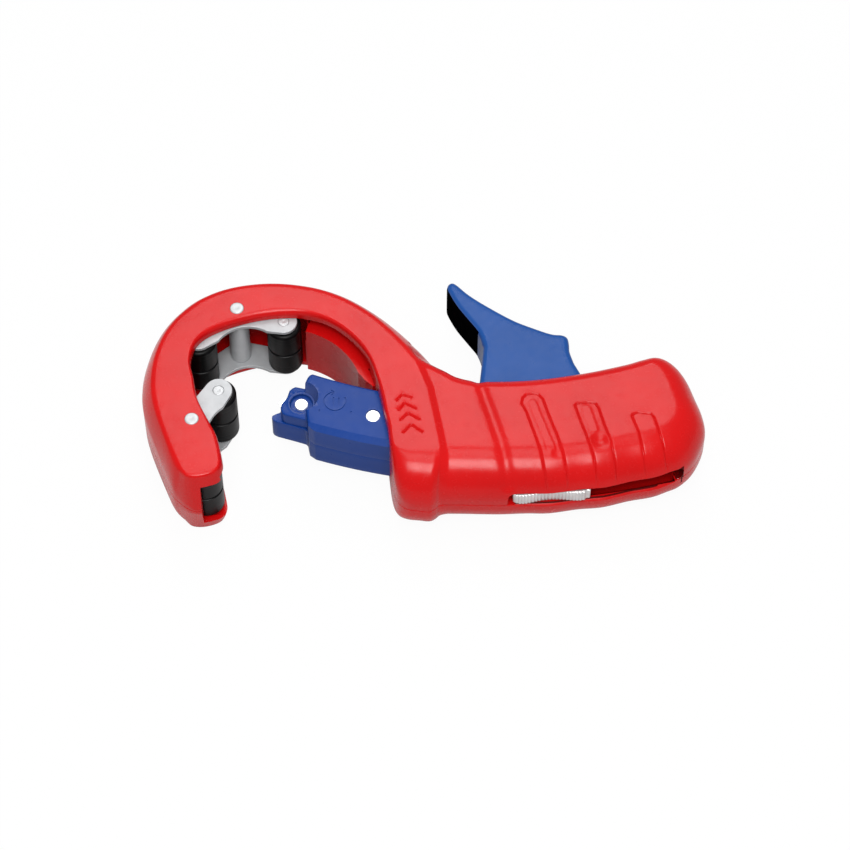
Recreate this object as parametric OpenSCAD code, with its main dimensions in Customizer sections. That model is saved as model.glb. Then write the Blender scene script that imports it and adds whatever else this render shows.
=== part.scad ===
// Pipe cutter for plastic drain pipe: a hooked two-shell body with four rollers on two rocking
// carriers, a blade carriage that slides out of the neck on a long arc, and a finned squeeze lever.
// The origin is the axis of the pipe in the hook, at mid thickness. Z is square to the tool's flat side,
// X runs towards the handle's end, and Y towards the lever's fin.

/* [Pipe and rollers] */
// Outside diameter of the largest pipe
pipe_d = 50; // [46:1:54]
// Room between the largest pipe and the rollers, on the radius
pipe_play = 1.4; // [0.8:0.1:2.5]
// Diameter of a roller
roller_d = 12.6; // [11.4:0.1:13.2]
// Length of a roller
roller_len = 24; // [22:0.5:26]
// Width of the groove round the middle of a roller
groove_w = 1.4; // [1:0.1:2.4]
// Depth of that groove
groove_depth = 0.6; // [0.3:0.1:1]
// Round edge at each end of a roller
roller_edge = 1.2; // [0.6:0.1:1.6]
// Diameter of a roller's pin
roller_pin_d = 4; // [3:0.1:5]

/* [Roller carriers] */
// Distance from a rivet to each roller that its carrier holds
arm_len = 17; // [16:0.25:17.5]
// Half the angle between the two arms of a carrier, in degrees
arm_angle = 67; // [64:1:69]
// Thickness of a carrier plate
plate_t = 1.5; // [1:0.1:2]
// Radius of a plate round a roller pin
end_lobe_r = 4.9; // [4:0.1:5.6]
// Radius of a plate round the rivet
mid_lobe_r = 5.8; // [5:0.1:7]
// Diameter of a hook rivet
rivet_d = 5; // [4:0.1:6]
// Outside diameter of the bush between two plates
bush_d = 7.6; // [7:0.1:9]
// Turn of carrier A from its centred position, in degrees
rocker_a_turn = -15.7; // [-18:0.1:-12]
// Turn of carrier B from its centred position, in degrees
rocker_b_turn = -34.9; // [-36:0.1:-30]

/* [Shells] */
// Thickness of the flat side of the hook
skin_t = 3.8; // [3.4:0.1:4.5]
// Thickness of the side walls
wall_t = 3; // [2.4:0.1:3.4]
// Distance from a rivet to the outside of the hook
rivet_back = 14.9; // [14.4:0.1:18]
// Distance from a rivet to the inner edge of the hook
rivet_front = 5.7; // [5:0.1:6.5]
// Height of the slope along the hook's outer edge
bevel_h = 9; // [7:0.5:10]
// Step from the neck's collar down to the grip
collar_step = 1; // [0.4:0.1:1.4]
// Distance along the feed arc from the pipe to the grip's end
body_end = 152; // [151:0.5:160]
// Distance from the feed arc to the near side of the grip
grip_near = 25.4; // [25:0.1:27.5]
// Distance from the feed arc to the lever side of the grip
grip_far = 19; // [18.8:0.1:20.5]
// Width of the round along the near side of the grip
near_round = 15; // [13:0.5:15.5]
// Width of the slot for the thumb slider
slot_w = 6.4; // [5.6:0.1:7.5]
// Depth of the arrow marks and grip lines
mark_depth = 0.5; // [0.3:0.1:0.8]

/* [Feed carriage] */
// Radius of the arc that the carriage slides on
feed_r = 207; // [200:1:215]
// Slope of that arc at the pipe's axis, in degrees
feed_tilt = 22.4; // [21.8:0.1:23]
// Distance that the carriage slides
feed_travel = 29.6; // [20:0.2:29.8]
// Width of the carriage across the feed arc
carriage_w = 21.8; // [20:0.1:22.4]
// Thickness of the carriage
carriage_t = 22; // [20:0.2:23]
// Bevel along the near edge of the carriage
carriage_bevel = 1.5; // [0.8:0.1:2.5]
// Height of the step round the blade screw, above mid thickness
step_h = 6; // [4:0.2:8]
// Radius of that step
step_r = 5.3; // [4.8:0.1:6]
// Thickness of the blade
blade_t = 1.2; // [0.8:0.1:1.6]
// Diameter of the blade screw
blade_screw_d = 4.8; // [3.8:0.1:5.2]
// Diameter of the carriage pin
carriage_pin_d = 5.2; // [4:0.1:6]
// Height of the carriage's tail above the feed arc
tail_top = 2; // [1:0.1:2]
// Pitch of the rack's teeth
rack_pitch = 2; // [1.5:0.1:3]
// Height of the rack's teeth
rack_tooth = 1.2; // [0.6:0.1:1.4]

/* [Thumb slider] */
// Length of the slider
slider_len = 24.6; // [20:0.2:25]
// Depth of the dip between the slider's ends
slider_dip = 2; // [1:0.1:2.6]
// Number of ribs on the slider
slider_ribs = 16; // [8:1:20]

/* [Squeeze lever] */
// Length of the lever from its pin to its tip, along X
lever_len = 61; // [59:0.5:62]
// Height of the tip above the lever pin, along Y
lever_h = 49.6; // [44:0.1:54]
// Thickness of the lever
lever_t = 18; // [16:0.2:19]
// Swing of the lever into the grip, in degrees
lever_swing = 16; // [8:0.5:16]
// Diameter of the lever pin
lever_pin_d = 5; // [4:0.1:5.4]
// Thickness of the soft pad
pad_t = 1.6; // [1:0.1:2.2]
// Width of the soft pad
pad_w = 16.4; // [9:0.2:16.6]
// Diameter of the pawl pin
pawl_pin_d = 3; // [2.4:0.1:3.4]

/* [Screws] */
// Shank diameter of a shell screw
shell_screw_d = 2.9; // [2.5:0.1:3.2]
// Head diameter of a shell screw
shell_head_d = 5.4; // [4.8:0.1:5.8]

/* [Hidden] */
$fn = 48;

// Clearances, and the overrun of every cut
run_gap = 0.05;
fixed_gap = 0.02;
side_gap = 0.35;
mouth_gap = 0.45;
over = 1;
// Small step that keeps two cuts from ending in one plane
seam_step = 0.05;

// Heights above mid thickness, worked out from the rollers outwards
plate_low = roller_len / 2 + side_gap;
plate_high = plate_low + plate_t;
cavity_h = plate_high + side_gap;
hook_half = cavity_h + skin_t;
roller_room = roller_len / 2 + side_gap / 2;

// The rivets lie on one circle about the pipe, each side of the hook's own axis
roller_circle = pipe_d / 2 + pipe_play + roller_d / 2;
arm_side = arm_len * sin(arm_angle);
rivet_r = sqrt(pow(roller_circle, 2) - pow(arm_side, 2)) + arm_len * cos(arm_angle);
hook_axis = 162.9;
rivet_half_angle = 44.2;
rivet_a_at = polar(rivet_r, hook_axis - rivet_half_angle);
rivet_b_at = polar(rivet_r, hook_axis + rivet_half_angle);
rocker_a_turned = hook_axis - rivet_half_angle + 180 + rocker_a_turn;
rocker_b_turned = hook_axis + rivet_half_angle + 180 + rocker_b_turn;
hook_r = rivet_r + rivet_back;
lip_r = rivet_r - rivet_front;

// The feed arc
feed_centre = feed_r * [sin(feed_tilt), cos(feed_tilt)];
carriage_half = carriage_w / 2;
carriage_top = carriage_t / 2;

function polar(r, a) = r * [cos(a), sin(a)];
// Turn of a point on the feed arc, from the arc centre's -Y, for a distance along the arc
function feed_angle(s) = s * 180 / (PI * feed_r) - feed_tilt;
// Point at distance s along the feed arc and off beyond it, away from the arc's centre
function on_feed(s, off) = feed_centre + (feed_r + off) * [sin(feed_angle(s)), -cos(feed_angle(s))];
function mix(a, b, t) = a + (b - a) * t;
// Point of a smooth curve through b and c, which a and d steer
function curve_at(a, b, c, d, t) =
    b + (c - a) * t / 2 + (2 * a - 5 * b + 4 * c - d) * t * t / 2 + (3 * b - a - 3 * c + d) * t * t * t / 2;
// Closed smooth curve through the points, with a number of steps for each
function smooth_loop(pts, steps) = [
    for (i = [0 : len(pts) - 1]) for (k = [0 : steps - 1])
        let (n = len(pts))
        curve_at(pts[(i + n - 1) % n], pts[i], pts[(i + 1) % n], pts[(i + 2) % n], k / steps)];

// Arc bar about the feed centre, from s0 to s1, from off0 to off1, and from z0 to z1
module feed_bar(s0, s1, off0, off1, z0, z1) {
    translate(feed_centre)
        rotate(feed_angle(s0) - 90)
            rotate_extrude(angle = feed_angle(s1) - feed_angle(s0), $fn = 180)
                translate([feed_r + off0, z0])
                    square([off1 - off0, z1 - z0]);
}

// Arc bar about the pipe's axis, between two angles
module pipe_bar(a0, a1, r0, r1, z0, z1) {
    rotate(a0)
        rotate_extrude(angle = a1 - a0, $fn = 180)
            translate([r0, z0])
                square([r1 - r0, z1 - z0]);
}

// Flat shape that two circles and their common tangents bound
module link_2d(p, rp, q, rq) {
    d = norm(q - p);
    a = atan2(q.y - p.y, q.x - p.x);
    b = acos((rp - rq) / d);
    translate(p) circle(rp);
    translate(q) circle(rq);
    polygon([p + polar(rp, a + b), p + polar(rp, a - b), q + polar(rq, a - b), q + polar(rq, a + b)]);
}

// Outline of the body. A station is [x, y, x at the flat side, y at the flat side, height of the edge,
// share of straight slope in the edge].
function station(out, top, h, slope = 0) = [out.x, out.y, top.x, top.y, h, slope];

// Outer edge of the hook, as [angle, share of hook_r, share of hook_r at the flat side]
hook_edge_shares = [
    [12, 1.105, 0.93], [21, 1.035, 0.865], [33, 0.973, 0.825], [45, 0.938, 0.803], [59, 0.922, 0.788],
    [72, 0.914, 0.785], [85, 0.916, 0.787], [97, 0.93, 0.803], [108, 0.95, 0.826], [117, 0.973, 0.85],
    [125, 0.995, 0.868], [134, 1.012, 0.886], [145, 1.016, 0.9], [155, 1.014, 0.904], [166, 1.005, 0.9],
    [176, 1.003, 0.892], [186, 1.0, 0.888], [196, 0.99, 0.886], [209, 0.998, 0.903]];
// Edge round the hook's tip, as shares of hook_r, then the edge's height as a share of hook_half and its slope
tip_shares = [
    [-0.78, -0.712, -0.7, -0.665, 0.6, 0.2], [-0.72, -0.79, -0.672, -0.73, 0.8, 0.6],
    [-0.65, -0.848, -0.643, -0.762, 0.88, 1], [-0.578, -0.872, -0.575, -0.765, 0.92, 1],
    [-0.485, -0.85, -0.505, -0.75, 0.88, 1], [-0.42, -0.79, -0.455, -0.727, 0.6, 0.6],
    [-0.395, -0.71, -0.432, -0.69, 0.4, 0.2], [-0.402, -0.628, -0.438, -0.625, 0.2, 0]];
// Inner edge of the hook, as [angle, share of lip_r, share of lip_r at the flat side]
lip_shares = [
    [225, 1.07, 1.13], [212, 1.015, 1.06], [193, 1.03, 1.065], [176, 1.07, 1.105], [165, 1.15, 1.185],
    [154, 1.19, 1.23], [145, 1.168, 1.22], [133, 1.09, 1.155], [118, 1.017, 1.09], [103, 0.985, 1.065],
    [88, 0.985, 1.06], [74, 1.01, 1.067], [60, 1.033, 1.075], [45, 1.045, 1.085], [30, 1.067, 1.107],
    [17, 1.095, 1.135], [3, 1.135, 1.175], [-8, 1.2, 1.25], [-17, 1.285, 1.335], [-25, 1.405, 1.46],
    [-32.5, 1.54, 1.605]];
// Foot of the neck, as shares of hook_r, and the height of its edge as a share of hook_half
foot_shares = [
    [0.78, -0.615, 0.825, -0.545, 0.3], [0.8, -0.73, 0.87, -0.56, 0.5], [0.835, -0.808, 0.915, -0.568, 0.7],
    [0.895, -0.85, 0.965, -0.572, 0.85]];
// Near side, as [share of body_end, share of grip_near]
near_shares = [
    [0.355, 1.17], [0.38, 1.165], [0.392, 1.11], [0.402, 1.045], [0.435, 1.02], [0.52, 1.007],
    [0.58, 0.997], [0.63, 1.012], [0.69, 0.987], [0.743, 1.0], [0.8, 0.968], [0.85, 0.974], [0.885, 0.942]];
// Grip's end, as shares of body_end and grip_near at the edge and at the flat side, and the edge's height
end_shares = [
    [0.912, 0.905, 0.897, 0.335, 0.85], [0.945, 0.79, 0.907, 0.31, 0.83], [0.975, 0.6, 0.922, 0.23, 0.8],
    [0.993, 0.42, 0.93, 0.14, 0.78], [1, 0.2, 0.934, 0.03, 0.75], [1, -0.05, 0.935, -0.1, 0.7],
    [0.998, -0.32, 0.935, -0.27, 0.6], [0.988, -0.54, 0.933, -0.42, 0.5], [0.968, -0.705, 0.927, -0.545, 0.4],
    [0.94, -0.79, 0.915, -0.615, 0.32]];
// Lever side, as [share of body_end, share of grip_far]
far_shares = [
    [0.9, 1.07], [0.85, 1.045], [0.74, 1.01], [0.62, 0.965], [0.52, 0.945], [0.455, 0.95], [0.415, 1.0],
    [0.385, 1.1]];
near_edge_share = 0.88;
far_round_share = 0.3;
far_edge_w = 5;
lip_edge_h = 2.5;

stations = concat(
    [for (t = hook_edge_shares) station(polar(hook_r * t[1], t[0]), polar(hook_r * t[2], t[0]), bevel_h)],
    [for (t = tip_shares) station(hook_r * [t[0], t[1]], hook_r * [t[2], t[3]], hook_half * t[4],
        t[5])],
    [for (t = lip_shares) station(polar(lip_r * t[1], t[0]), polar(lip_r * t[2], t[0]), lip_edge_h)],
    [for (t = foot_shares) station(hook_r * [t[0], t[1]], hook_r * [t[2], t[3]], hook_half * t[4])],
    [for (t = near_shares) station(on_feed(body_end * t[0], grip_near * t[1]),
        on_feed(body_end * t[0], grip_near * t[1] - near_round), hook_half * near_edge_share)],
    [for (t = end_shares) station(on_feed(body_end * t[0], grip_near * t[1]),
        on_feed(body_end * t[2], grip_near * t[3]), hook_half * t[4])],
    [for (t = far_shares) station(on_feed(body_end * t[0], -grip_far * t[1]),
        on_feed(body_end * t[0], far_edge_w - grip_far * t[1]), hook_half * far_round_share)]);
outline_steps = 2;
outline = smooth_loop(stations, outline_steps);
edge_steps = 5;

// Triangles across a flat face between two chains of outline points, a along the hook's outer edge and the
// lever side and b along the inner edge and the near side, each step taking the shorter way across
function across(pts, a, b, i = 0, j = 0) =
    i == len(a) - 1 && j == len(b) - 1 ? []
    : let (on_a = j == len(b) - 1
            || (i < len(a) - 1 && norm(pts[a[i + 1]] - pts[b[j]]) < norm(pts[a[i]] - pts[b[j + 1]])))
        concat([on_a ? [a[i + 1], a[i], b[j]] : [b[j], b[j + 1], a[i]]],
            across(pts, a, b, on_a ? i + 1 : i, on_a ? j : j + 1));
// The chains run from the tip to the neck, and from the neck to the grip's end
tip_mid = outline_steps * (len(hook_edge_shares) + 4);
neck_near = outline_steps * (len(hook_edge_shares) + len(tip_shares) + len(lip_shares) + len(foot_shares));
end_mid = outline_steps * (len(stations) - len(far_shares) - len(end_shares) + 4);
function flat_face(pts) = concat(
    across(pts, [for (i = [tip_mid : -1 : 0]) i], [for (i = [tip_mid + 1 : neck_near]) i]),
    across(pts, concat([0], [for (i = [len(pts) - 1 : -1 : end_mid + 1]) i]), [for (i = [neck_near : end_mid]) i]));

// Upper half of the solid body, with its edges rounded down to mid thickness
module body_half() {
    n = len(outline);
    rings = concat([[0, 0, 0, 0]], [for (k = [0 : edge_steps])
        let (t = 90 * k / edge_steps, u = k / edge_steps)
        [1 - cos(t), 1 - sin(t), u < 1 ? 0.88 * u : 1, u < 1 ? 1 - 1.17 * u : 0]]);
    pts = [for (k = [0 : len(rings) - 1]) for (p = outline)
        let (inset = mix(rings[k][0], rings[k][2], p[5]), drop = mix(rings[k][1], rings[k][3], p[5]))
        [mix(p[0], p[2], inset), mix(p[1], p[3], inset), k == 0 ? 0 : hook_half - p[4] * drop]];
    sides = [for (k = [0 : len(rings) - 2]) for (i = [0 : n - 1])
        let (j = (i + 1) % n)
        each k == 0 ? [[i, n + i, n + j, j]]
            : [[k * n + i, (k + 1) * n + i, k * n + j], [k * n + j, (k + 1) * n + i, (k + 1) * n + j]]];
    top = (len(rings) - 1) * n;
    polyhedron(pts, concat(flat_face([for (i = [0 : n - 1]) pts[i]]), sides,
        [for (t = flat_face([for (i = [0 : n - 1]) pts[top + i]])) [top + t[2], top + t[1], top + t[0]]]));
}

// Space inside the hook for the roller carriers
rocker_space_start = 76;
rocker_space_end = 236;
open_r_share = 0.6;
tip_reach_share = 1.045;
tip_corner_share = 0.965;
tip_corner_from = 232;
rocker_wall_extra = 0.6;
hook_edge = [for (t = hook_edge_shares) [t[0], t[1]]];
module rocker_space() {
    w = wall_t + rocker_wall_extra;
    edge = [for (a = [rocker_space_start : 8 : rocker_space_end])
        polar(hook_r * (a > tip_corner_from ? tip_corner_share : a > 209 ? tip_reach_share
            : lookup(a, hook_edge)) - w, a)];
    open = [for (a = [rocker_space_end : -8 : rocker_space_start]) polar(lip_r * open_r_share, a)];
    translate([0, 0, -over])
        linear_extrude(cavity_h + over)
            polygon(concat(edge, open));
}

// Opening in the tip's end, where roller 4 shows
tip_roller_room = 0.9;
module tip_window() {
    corner = hook_r * [-0.555, -0.5];
    reach = hook_r * 0.5;
    lobe_room = end_lobe_r + side_gap;
    translate([corner.x, corner.y - reach, -over])
        cube([reach, reach, roller_room + over]);
    translate([roller_at[3].x - lobe_room, roller_at[3].y - lobe_room, -over])
        cube([3 * lobe_room, 2 * lobe_room, cavity_h + over - 3 * seam_step]);
    translate([roller_at[3].x, roller_at[3].y, -over])
        cylinder(d = roller_d + 2 * tip_roller_room, h = roller_room + 0.9 * over);
}

// Places along the body, as distances along the feed arc
neck_wall = 47;
channel_start = 28;
nose_room_end = 69;
crescent = [20, 75];
crescent_in = 32;
slot_start = 82.6;
slot_end = 139.2;
slot_lip = 1.2;
groove_low = 3;
hollow_end = 141;
lever_gap_start = 69.4;
lever_gap_end = 118.4;
grip_wall_high = 10;
end_wall = 5;

// Hollow of the grip and of the hook beside the neck
module grip_space() {
    near_low = grip_near - wall_t - over;
    near_high = grip_near - grip_wall_high;
    far = wall_t - grip_far;
    low_h = cavity_h * 0.56;
    stem_end = slot_end - slot_lip / 2;
    feed_bar(stem_end - over, hollow_end, far, carriage_half + slot_lip, -over, cavity_h - 2 * seam_step);
    translate(feed_centre)
        rotate(feed_angle(neck_wall) - 90)
            rotate_extrude(angle = feed_angle(stem_end) - feed_angle(neck_wall), $fn = 180)
                translate([feed_r, 0])
                    polygon([[far, -over], [near_low, -over], [near_low, low_h], [near_high, low_h],
                        [near_high, cavity_h], [far, cavity_h]]);
    feed_bar(hollow_end - over, body_end - end_wall, far + end_wall, near_low / 3, -over, cavity_h - 4 * seam_step);
    pipe_bar(crescent[0], crescent[1], crescent_in, hook_r * 0.914 - wall_t, -over, cavity_h - 2 * seam_step);
}

// Ribs and bosses inside a shell, up to the inside of its flat side
guide_rib_w = 2;
module shell_inside(shelf_rib) {
    lift = carriage_top + side_gap;
    guide_top = cavity_h + over;
    nose_side = -carriage_half - side_gap;
    feed_bar(neck_wall - guide_rib_w, nose_room_end, nose_side - guide_rib_w, nose_side, -2 * over, guide_top);
    feed_bar(neck_wall - guide_rib_w, slot_start - guide_rib_w, carriage_half + side_gap,
        carriage_half + side_gap + guide_rib_w, -2 * over, guide_top);
    feed_bar(neck_wall - over, nose_room_end, -carriage_half * 0.8, guide_rib_w - carriage_half * 0.8, lift, guide_top);
    for (off = [-guide_rib_w / 2, carriage_half - guide_rib_w * 1.5])
        feed_bar(neck_wall - over, slot_start + slider_len, off, off + guide_rib_w, lift, guide_top);
    translate(lever_at)
        translate([0, 0, lever_t / 2 + side_gap])
            cylinder(d = lever_pin_d + 1.4 * wall_t, h = guide_top - lever_t / 2 - side_gap);
    for (p = screw_at)
        translate([p.x, p.y, -2 * over])
            cylinder(d = boss_d, h = guide_top + 2 * over);
    if (shelf_rib)
        pipe_bar(crescent[0] - 2, crescent[1] - 2, shelf_back, shelf_back + guide_rib_w, shelf_z + side_gap, guide_top);
}

// Shell screws
boss_wall = 0.7;
boss_d = shell_head_d + 2 * boss_wall;
screw_at = [polar(hook_r * 0.81, 43), on_feed(body_end * 0.42, grip_near * 0.78),
    on_feed(body_end * 0.955, -grip_far * 0.1), on_feed(body_end * 0.885, -grip_far * 0.69)];
screw_rise = 9;
screw_depth = 4;
screw_seat = cavity_h - screw_depth;

// Places of the lever's pins
lever_at = on_feed(body_end * 0.82, -grip_far * 0.566);
pawl_from_lever = [-12, 2];
pawl_at = lever_at + pawl_from_lever;
lever_bottom = 5;

// Opening in the far side for the lever
module lever_opening(h) {
    feed_bar(lever_gap_start, lever_gap_end, -grip_far * 1.5, wall_t + over - grip_far, -over, h);
}

// Arrow marks on the collar and the outlines of the three grip bars, as open lines of shares
line_w = 0.7;
arrow_shares = [
    [[0.816, -0.165], [0.852, -0.118], [0.919, -0.14]],
    [[0.832, -0.245], [0.869, -0.188], [0.948, -0.232]],
    [[0.842, -0.328], [0.895, -0.273], [0.976, -0.323]],
    [[0.862, -0.432], [0.917, -0.367], [0.995, -0.427]]];
bar_shares = [
    [[0.61, 0.7], [0.599, 0.2], [0.586, -0.115], [0.576, -0.256], [0.583, -0.36], [0.603, -0.41], [0.621, -0.36],
        [0.632, -0.2], [0.638, -0.03], [0.655, 0.4], [0.662, 0.7]],
    [[0.726, 0.7], [0.711, 0.16], [0.703, -0.165], [0.709, -0.195], [0.747, -0.195], [0.758, -0.055], [0.761, 0.16],
        [0.768, 0.7]],
    [[0.832, 0.7], [0.832, 0.41], [0.828, 0.146], [0.832, 0.11], [0.865, 0.126], [0.876, 0.24], [0.879, 0.7]]];
// Band of width w along an open line of points
module line_band(pts, w) {
    last = len(pts) - 1;
    sides = [for (i = [0 : last])
        let (d = pts[min(i + 1, last)] - pts[max(i - 1, 0)])
        w / 2 * [-d.y, d.x] / norm(d)];
    polygon(concat([for (i = [0 : last]) pts[i] + sides[i]], [for (i = [last : -1 : 0]) pts[i] - sides[i]]));
}
module grip_marks() {
    translate([0, 0, hook_half - mark_depth])
        linear_extrude(mark_depth + over)
            for (a = arrow_shares)
                line_band(hook_r * a, line_w);
    translate([0, 0, hook_half - collar_step - mark_depth])
        linear_extrude(mark_depth + over)
            for (b = bar_shares)
                line_band([for (t = b) on_feed(body_end * t[0], grip_near * t[1])], line_w);
}

// Part of the flat side beyond the collar, which is lower by collar_step
collar_edge_shares = [[0.29, -0.9], [0.31, -0.74], [0.342, -0.41], [0.362, -0.055], [0.382, 0.335], [0.395, 0.65],
    [0.402, 1.04], [0.402, 1.4]];
module beyond_collar() {
    edge = [for (t = collar_edge_shares) on_feed(body_end * t[0], grip_near * t[1])];
    translate([0, 0, hook_half - collar_step])
        linear_extrude(collar_step + over)
            polygon(concat(edge, [for (s = [0.5 : 0.1 : 1.2]) on_feed(body_end * s, grip_near * 1.5)],
                [for (s = [1.2 : -0.1 : 0.3]) on_feed(body_end * s, -grip_far * 1.6)]));
}

// What both shells share, before each gets its own openings
module shell_half(shelf_rib) {
    difference() {
        body_half();
        beyond_collar();
        difference() {
            union() {
                rocker_space();
                grip_space();
            }
            shell_inside(shelf_rib);
        }
        tip_window();
        feed_bar(channel_start, neck_wall + over, -carriage_half - mouth_gap, carriage_half + mouth_gap,
            -over, carriage_top + mouth_gap);
        lever_opening(lever_t / 2 + side_gap);
        for (p = [rivet_a_at, rivet_b_at])
            translate([p.x, p.y, -over])
                cylinder(d = rivet_d + 2 * fixed_gap, h = hook_half + 2 * over);
        translate([lever_at.x, lever_at.y, -over])
            cylinder(d = lever_pin_d + 2 * fixed_gap, h = cavity_h + 1.6 * over);
    }
}

module upper_shell() {
    color("#e02a2c")
        difference() {
            shell_half(true);
            pipe_bar(crescent[0] - 4, crescent[1] + 2, lip_r * 0.9, crescent_in + over, -over, cavity_h - 6 * seam_step);
            feed_bar(slot_start, slot_end, grip_near / 2, grip_near + 3 * over, -over, slot_w);
            for (p = screw_at)
                translate([p.x, p.y, -over])
                    cylinder(d = shell_screw_d + 2 * fixed_gap, h = screw_rise + 2 * over);
            grip_marks();
        }
}

// Inner wall of the hook beside the rollers, which is part of the lower shell and ends in a shelf
shelf_z = 8;
shelf_t = 2;
shelf_back = 37;
wall_in_r = 28.6;
wall_lap = 0.4;
module inner_wall() {
    a0 = crescent[0] + 0.5;
    a1 = crescent[1] - 1.5;
    rotate(a0)
        rotate_extrude(angle = a1 - a0, $fn = 180)
            polygon([[wall_in_r, over - hook_half], [crescent_in + wall_lap, over - hook_half],
                [crescent_in + wall_lap, shelf_z - shelf_t], [shelf_back - side_gap, shelf_z - shelf_t],
                [shelf_back - side_gap, shelf_z], [wall_in_r, shelf_z]]);
}

module lower_shell() {
    color("#d81f22")
        difference() {
            union() {
                mirror([0, 0, 1]) shell_half(false);
                inner_wall();
            }
            feed_bar(slot_start + slot_lip, slot_end - slot_lip, grip_near / 2, grip_near * 0.97 - slot_lip,
                -groove_low, over);
            for (p = screw_at)
                translate([p.x, p.y, 0]) {
                    translate([0, 0, -hook_half - over])
                        cylinder(d = shell_screw_d + 2 * run_gap, h = hook_half + 2 * over);
                    translate([0, 0, -hook_half - over])
                        cylinder(d = shell_head_d + 2 * run_gap, h = hook_half + over - screw_seat);
                }
        }
}

module shell_screws() {
    color("silver")
        for (p = screw_at)
            translate([p.x, p.y, -screw_seat]) {
                cylinder(d = shell_screw_d, h = screw_seat + screw_rise);
                translate([0, 0, -shell_screw_d * 0.7])
                    difference() {
                        cylinder(d = shell_head_d, h = shell_screw_d * 0.7);
                        for (a = [0, 90])
                            rotate(a)
                                translate([-shell_head_d / 3, -shell_head_d / 12, -over])
                                    cube([shell_head_d * 2 / 3, shell_head_d / 6, over + shell_screw_d * 0.3]);
                    }
            }
}

module hook_rivet(at) {
    dome = rivet_d * 0.06;
    color("gainsboro")
        translate([at.x, at.y, 0])
            rotate_extrude()
                polygon([[0, -hook_half], [rivet_d / 2 - dome, -hook_half], [rivet_d / 2, dome - hook_half],
                    [rivet_d / 2, hook_half - dome], [rivet_d / 2 - dome, hook_half], [0, hook_half + dome]]);
}
module hook_rivet_a() hook_rivet(rivet_a_at);
module hook_rivet_b() hook_rivet(rivet_b_at);

web_r = 12.3;
// Plate of a carrier, in the carrier's own frame: the rivet at the origin, the arms each side of +X
module rocker_plate(at, turned, low) {
    color(low > 0 ? "whitesmoke" : "silver")
        translate([at.x, at.y, low])
            rotate(turned)
                linear_extrude(plate_t)
                    difference() {
                        union()
                            for (side = [-1, 1])
                                link_2d([0, 0], mid_lobe_r, polar(arm_len, side * arm_angle), end_lobe_r);
                        translate([mid_lobe_r * 0.97 + web_r, 0]) circle(web_r);
                        circle(d = rivet_d + 2 * run_gap);
                        for (side = [-1, 1])
                            translate(polar(arm_len, side * arm_angle))
                                circle(d = roller_pin_d + 2 * fixed_gap);
                    }
}
module rocker_a_upper_plate() rocker_plate(rivet_a_at, rocker_a_turned, plate_low);
module rocker_a_lower_plate() rocker_plate(rivet_a_at, rocker_a_turned, -plate_high);
module rocker_b_upper_plate() rocker_plate(rivet_b_at, rocker_b_turned, plate_low);
module rocker_b_lower_plate() rocker_plate(rivet_b_at, rocker_b_turned, -plate_high);

module bush(at) {
    color("silver")
        translate([at.x, at.y, -plate_low])
            difference() {
                cylinder(d = bush_d, h = 2 * plate_low);
                translate([0, 0, -over])
                    cylinder(d = rivet_d + 2 * run_gap, h = 2 * plate_low + 2 * over);
            }
}
module rocker_a_bush() bush(rivet_a_at);
module rocker_b_bush() bush(rivet_b_at);

roller_at = [
    rivet_a_at + polar(arm_len, rocker_a_turned + arm_angle),
    rivet_a_at + polar(arm_len, rocker_a_turned - arm_angle),
    rivet_b_at + polar(arm_len, rocker_b_turned + arm_angle),
    rivet_b_at + polar(arm_len, rocker_b_turned - arm_angle)];

module roller(i) {
    r = roller_d / 2;
    half = roller_len / 2;
    bore = roller_pin_d / 2 + run_gap;
    g = groove_w / 2;
    round_end = [for (a = [0 : 22.5 : 90]) [r - roller_edge * (1 - cos(a)), half - roller_edge * (1 - sin(a))]];
    profile = concat([[bore, -half]], [for (k = [4 : -1 : 0]) [round_end[k].x, -round_end[k].y]],
        [[r, -g], [r - groove_depth, -g / 2], [r - groove_depth, g / 2], [r, g]], round_end, [[bore, half]]);
    color("#25282a")
        translate(roller_at[i])
            rotate_extrude() polygon(profile);
}
module roller_1() roller(0);
module roller_2() roller(1);
module roller_3() roller(2);
module roller_4() roller(3);

module roller_pin(i) {
    color("silver")
        translate([roller_at[i].x, roller_at[i].y, -plate_high])
            cylinder(d = roller_pin_d, h = 2 * plate_high);
}
module roller_pin_1() roller_pin(0);
module roller_pin_2() roller_pin(1);
module roller_pin_3() roller_pin(2);
module roller_pin_4() roller_pin(3);

// Places on the carriage, as distances along the feed arc
nose_back_s = 40.4;
tail_back_s = 110.9;
blade_screw_s = 6.9;
carriage_pin_s = 34.1;
blade_screw_off = -0.5;
blade_screw_at = on_feed(blade_screw_s, blade_screw_off);
carriage_pin_at = on_feed(carriage_pin_s, 0);
pocket_gap = 0.25;
screw_bowl_low = 4.6;
screw_bowl_high = 6.3;

// Half of the carriage, from mid thickness to one side: a bar along the arc whose far part is cut
// away behind the nose, and whose front follows the points given as shares of carriage_half
module carriage_block(front) {
    difference() {
        translate(feed_centre)
            rotate(feed_angle(-carriage_half) - 90)
                rotate_extrude(angle = feed_angle(tail_back_s) - feed_angle(-carriage_half), $fn = 180)
                    polygon([[feed_r - carriage_half, 0], [feed_r + carriage_half, 0],
                        [feed_r + carriage_half, carriage_top - carriage_bevel],
                        [feed_r + carriage_half - carriage_bevel * 1.4, carriage_top],
                        [feed_r - carriage_half + carriage_bevel / 3, carriage_top],
                        [feed_r - carriage_half, carriage_top - carriage_bevel / 3]]);
        feed_bar(nose_back_s, tail_back_s + over, -carriage_half - over, -tail_top, -over, carriage_top + over);
        translate([0, 0, -over])
            linear_extrude(carriage_top + 2 * over)
                polygon(carriage_half * concat(front, [[-4, -2.4], [-4, 1.6]]));
    }
}

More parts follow.
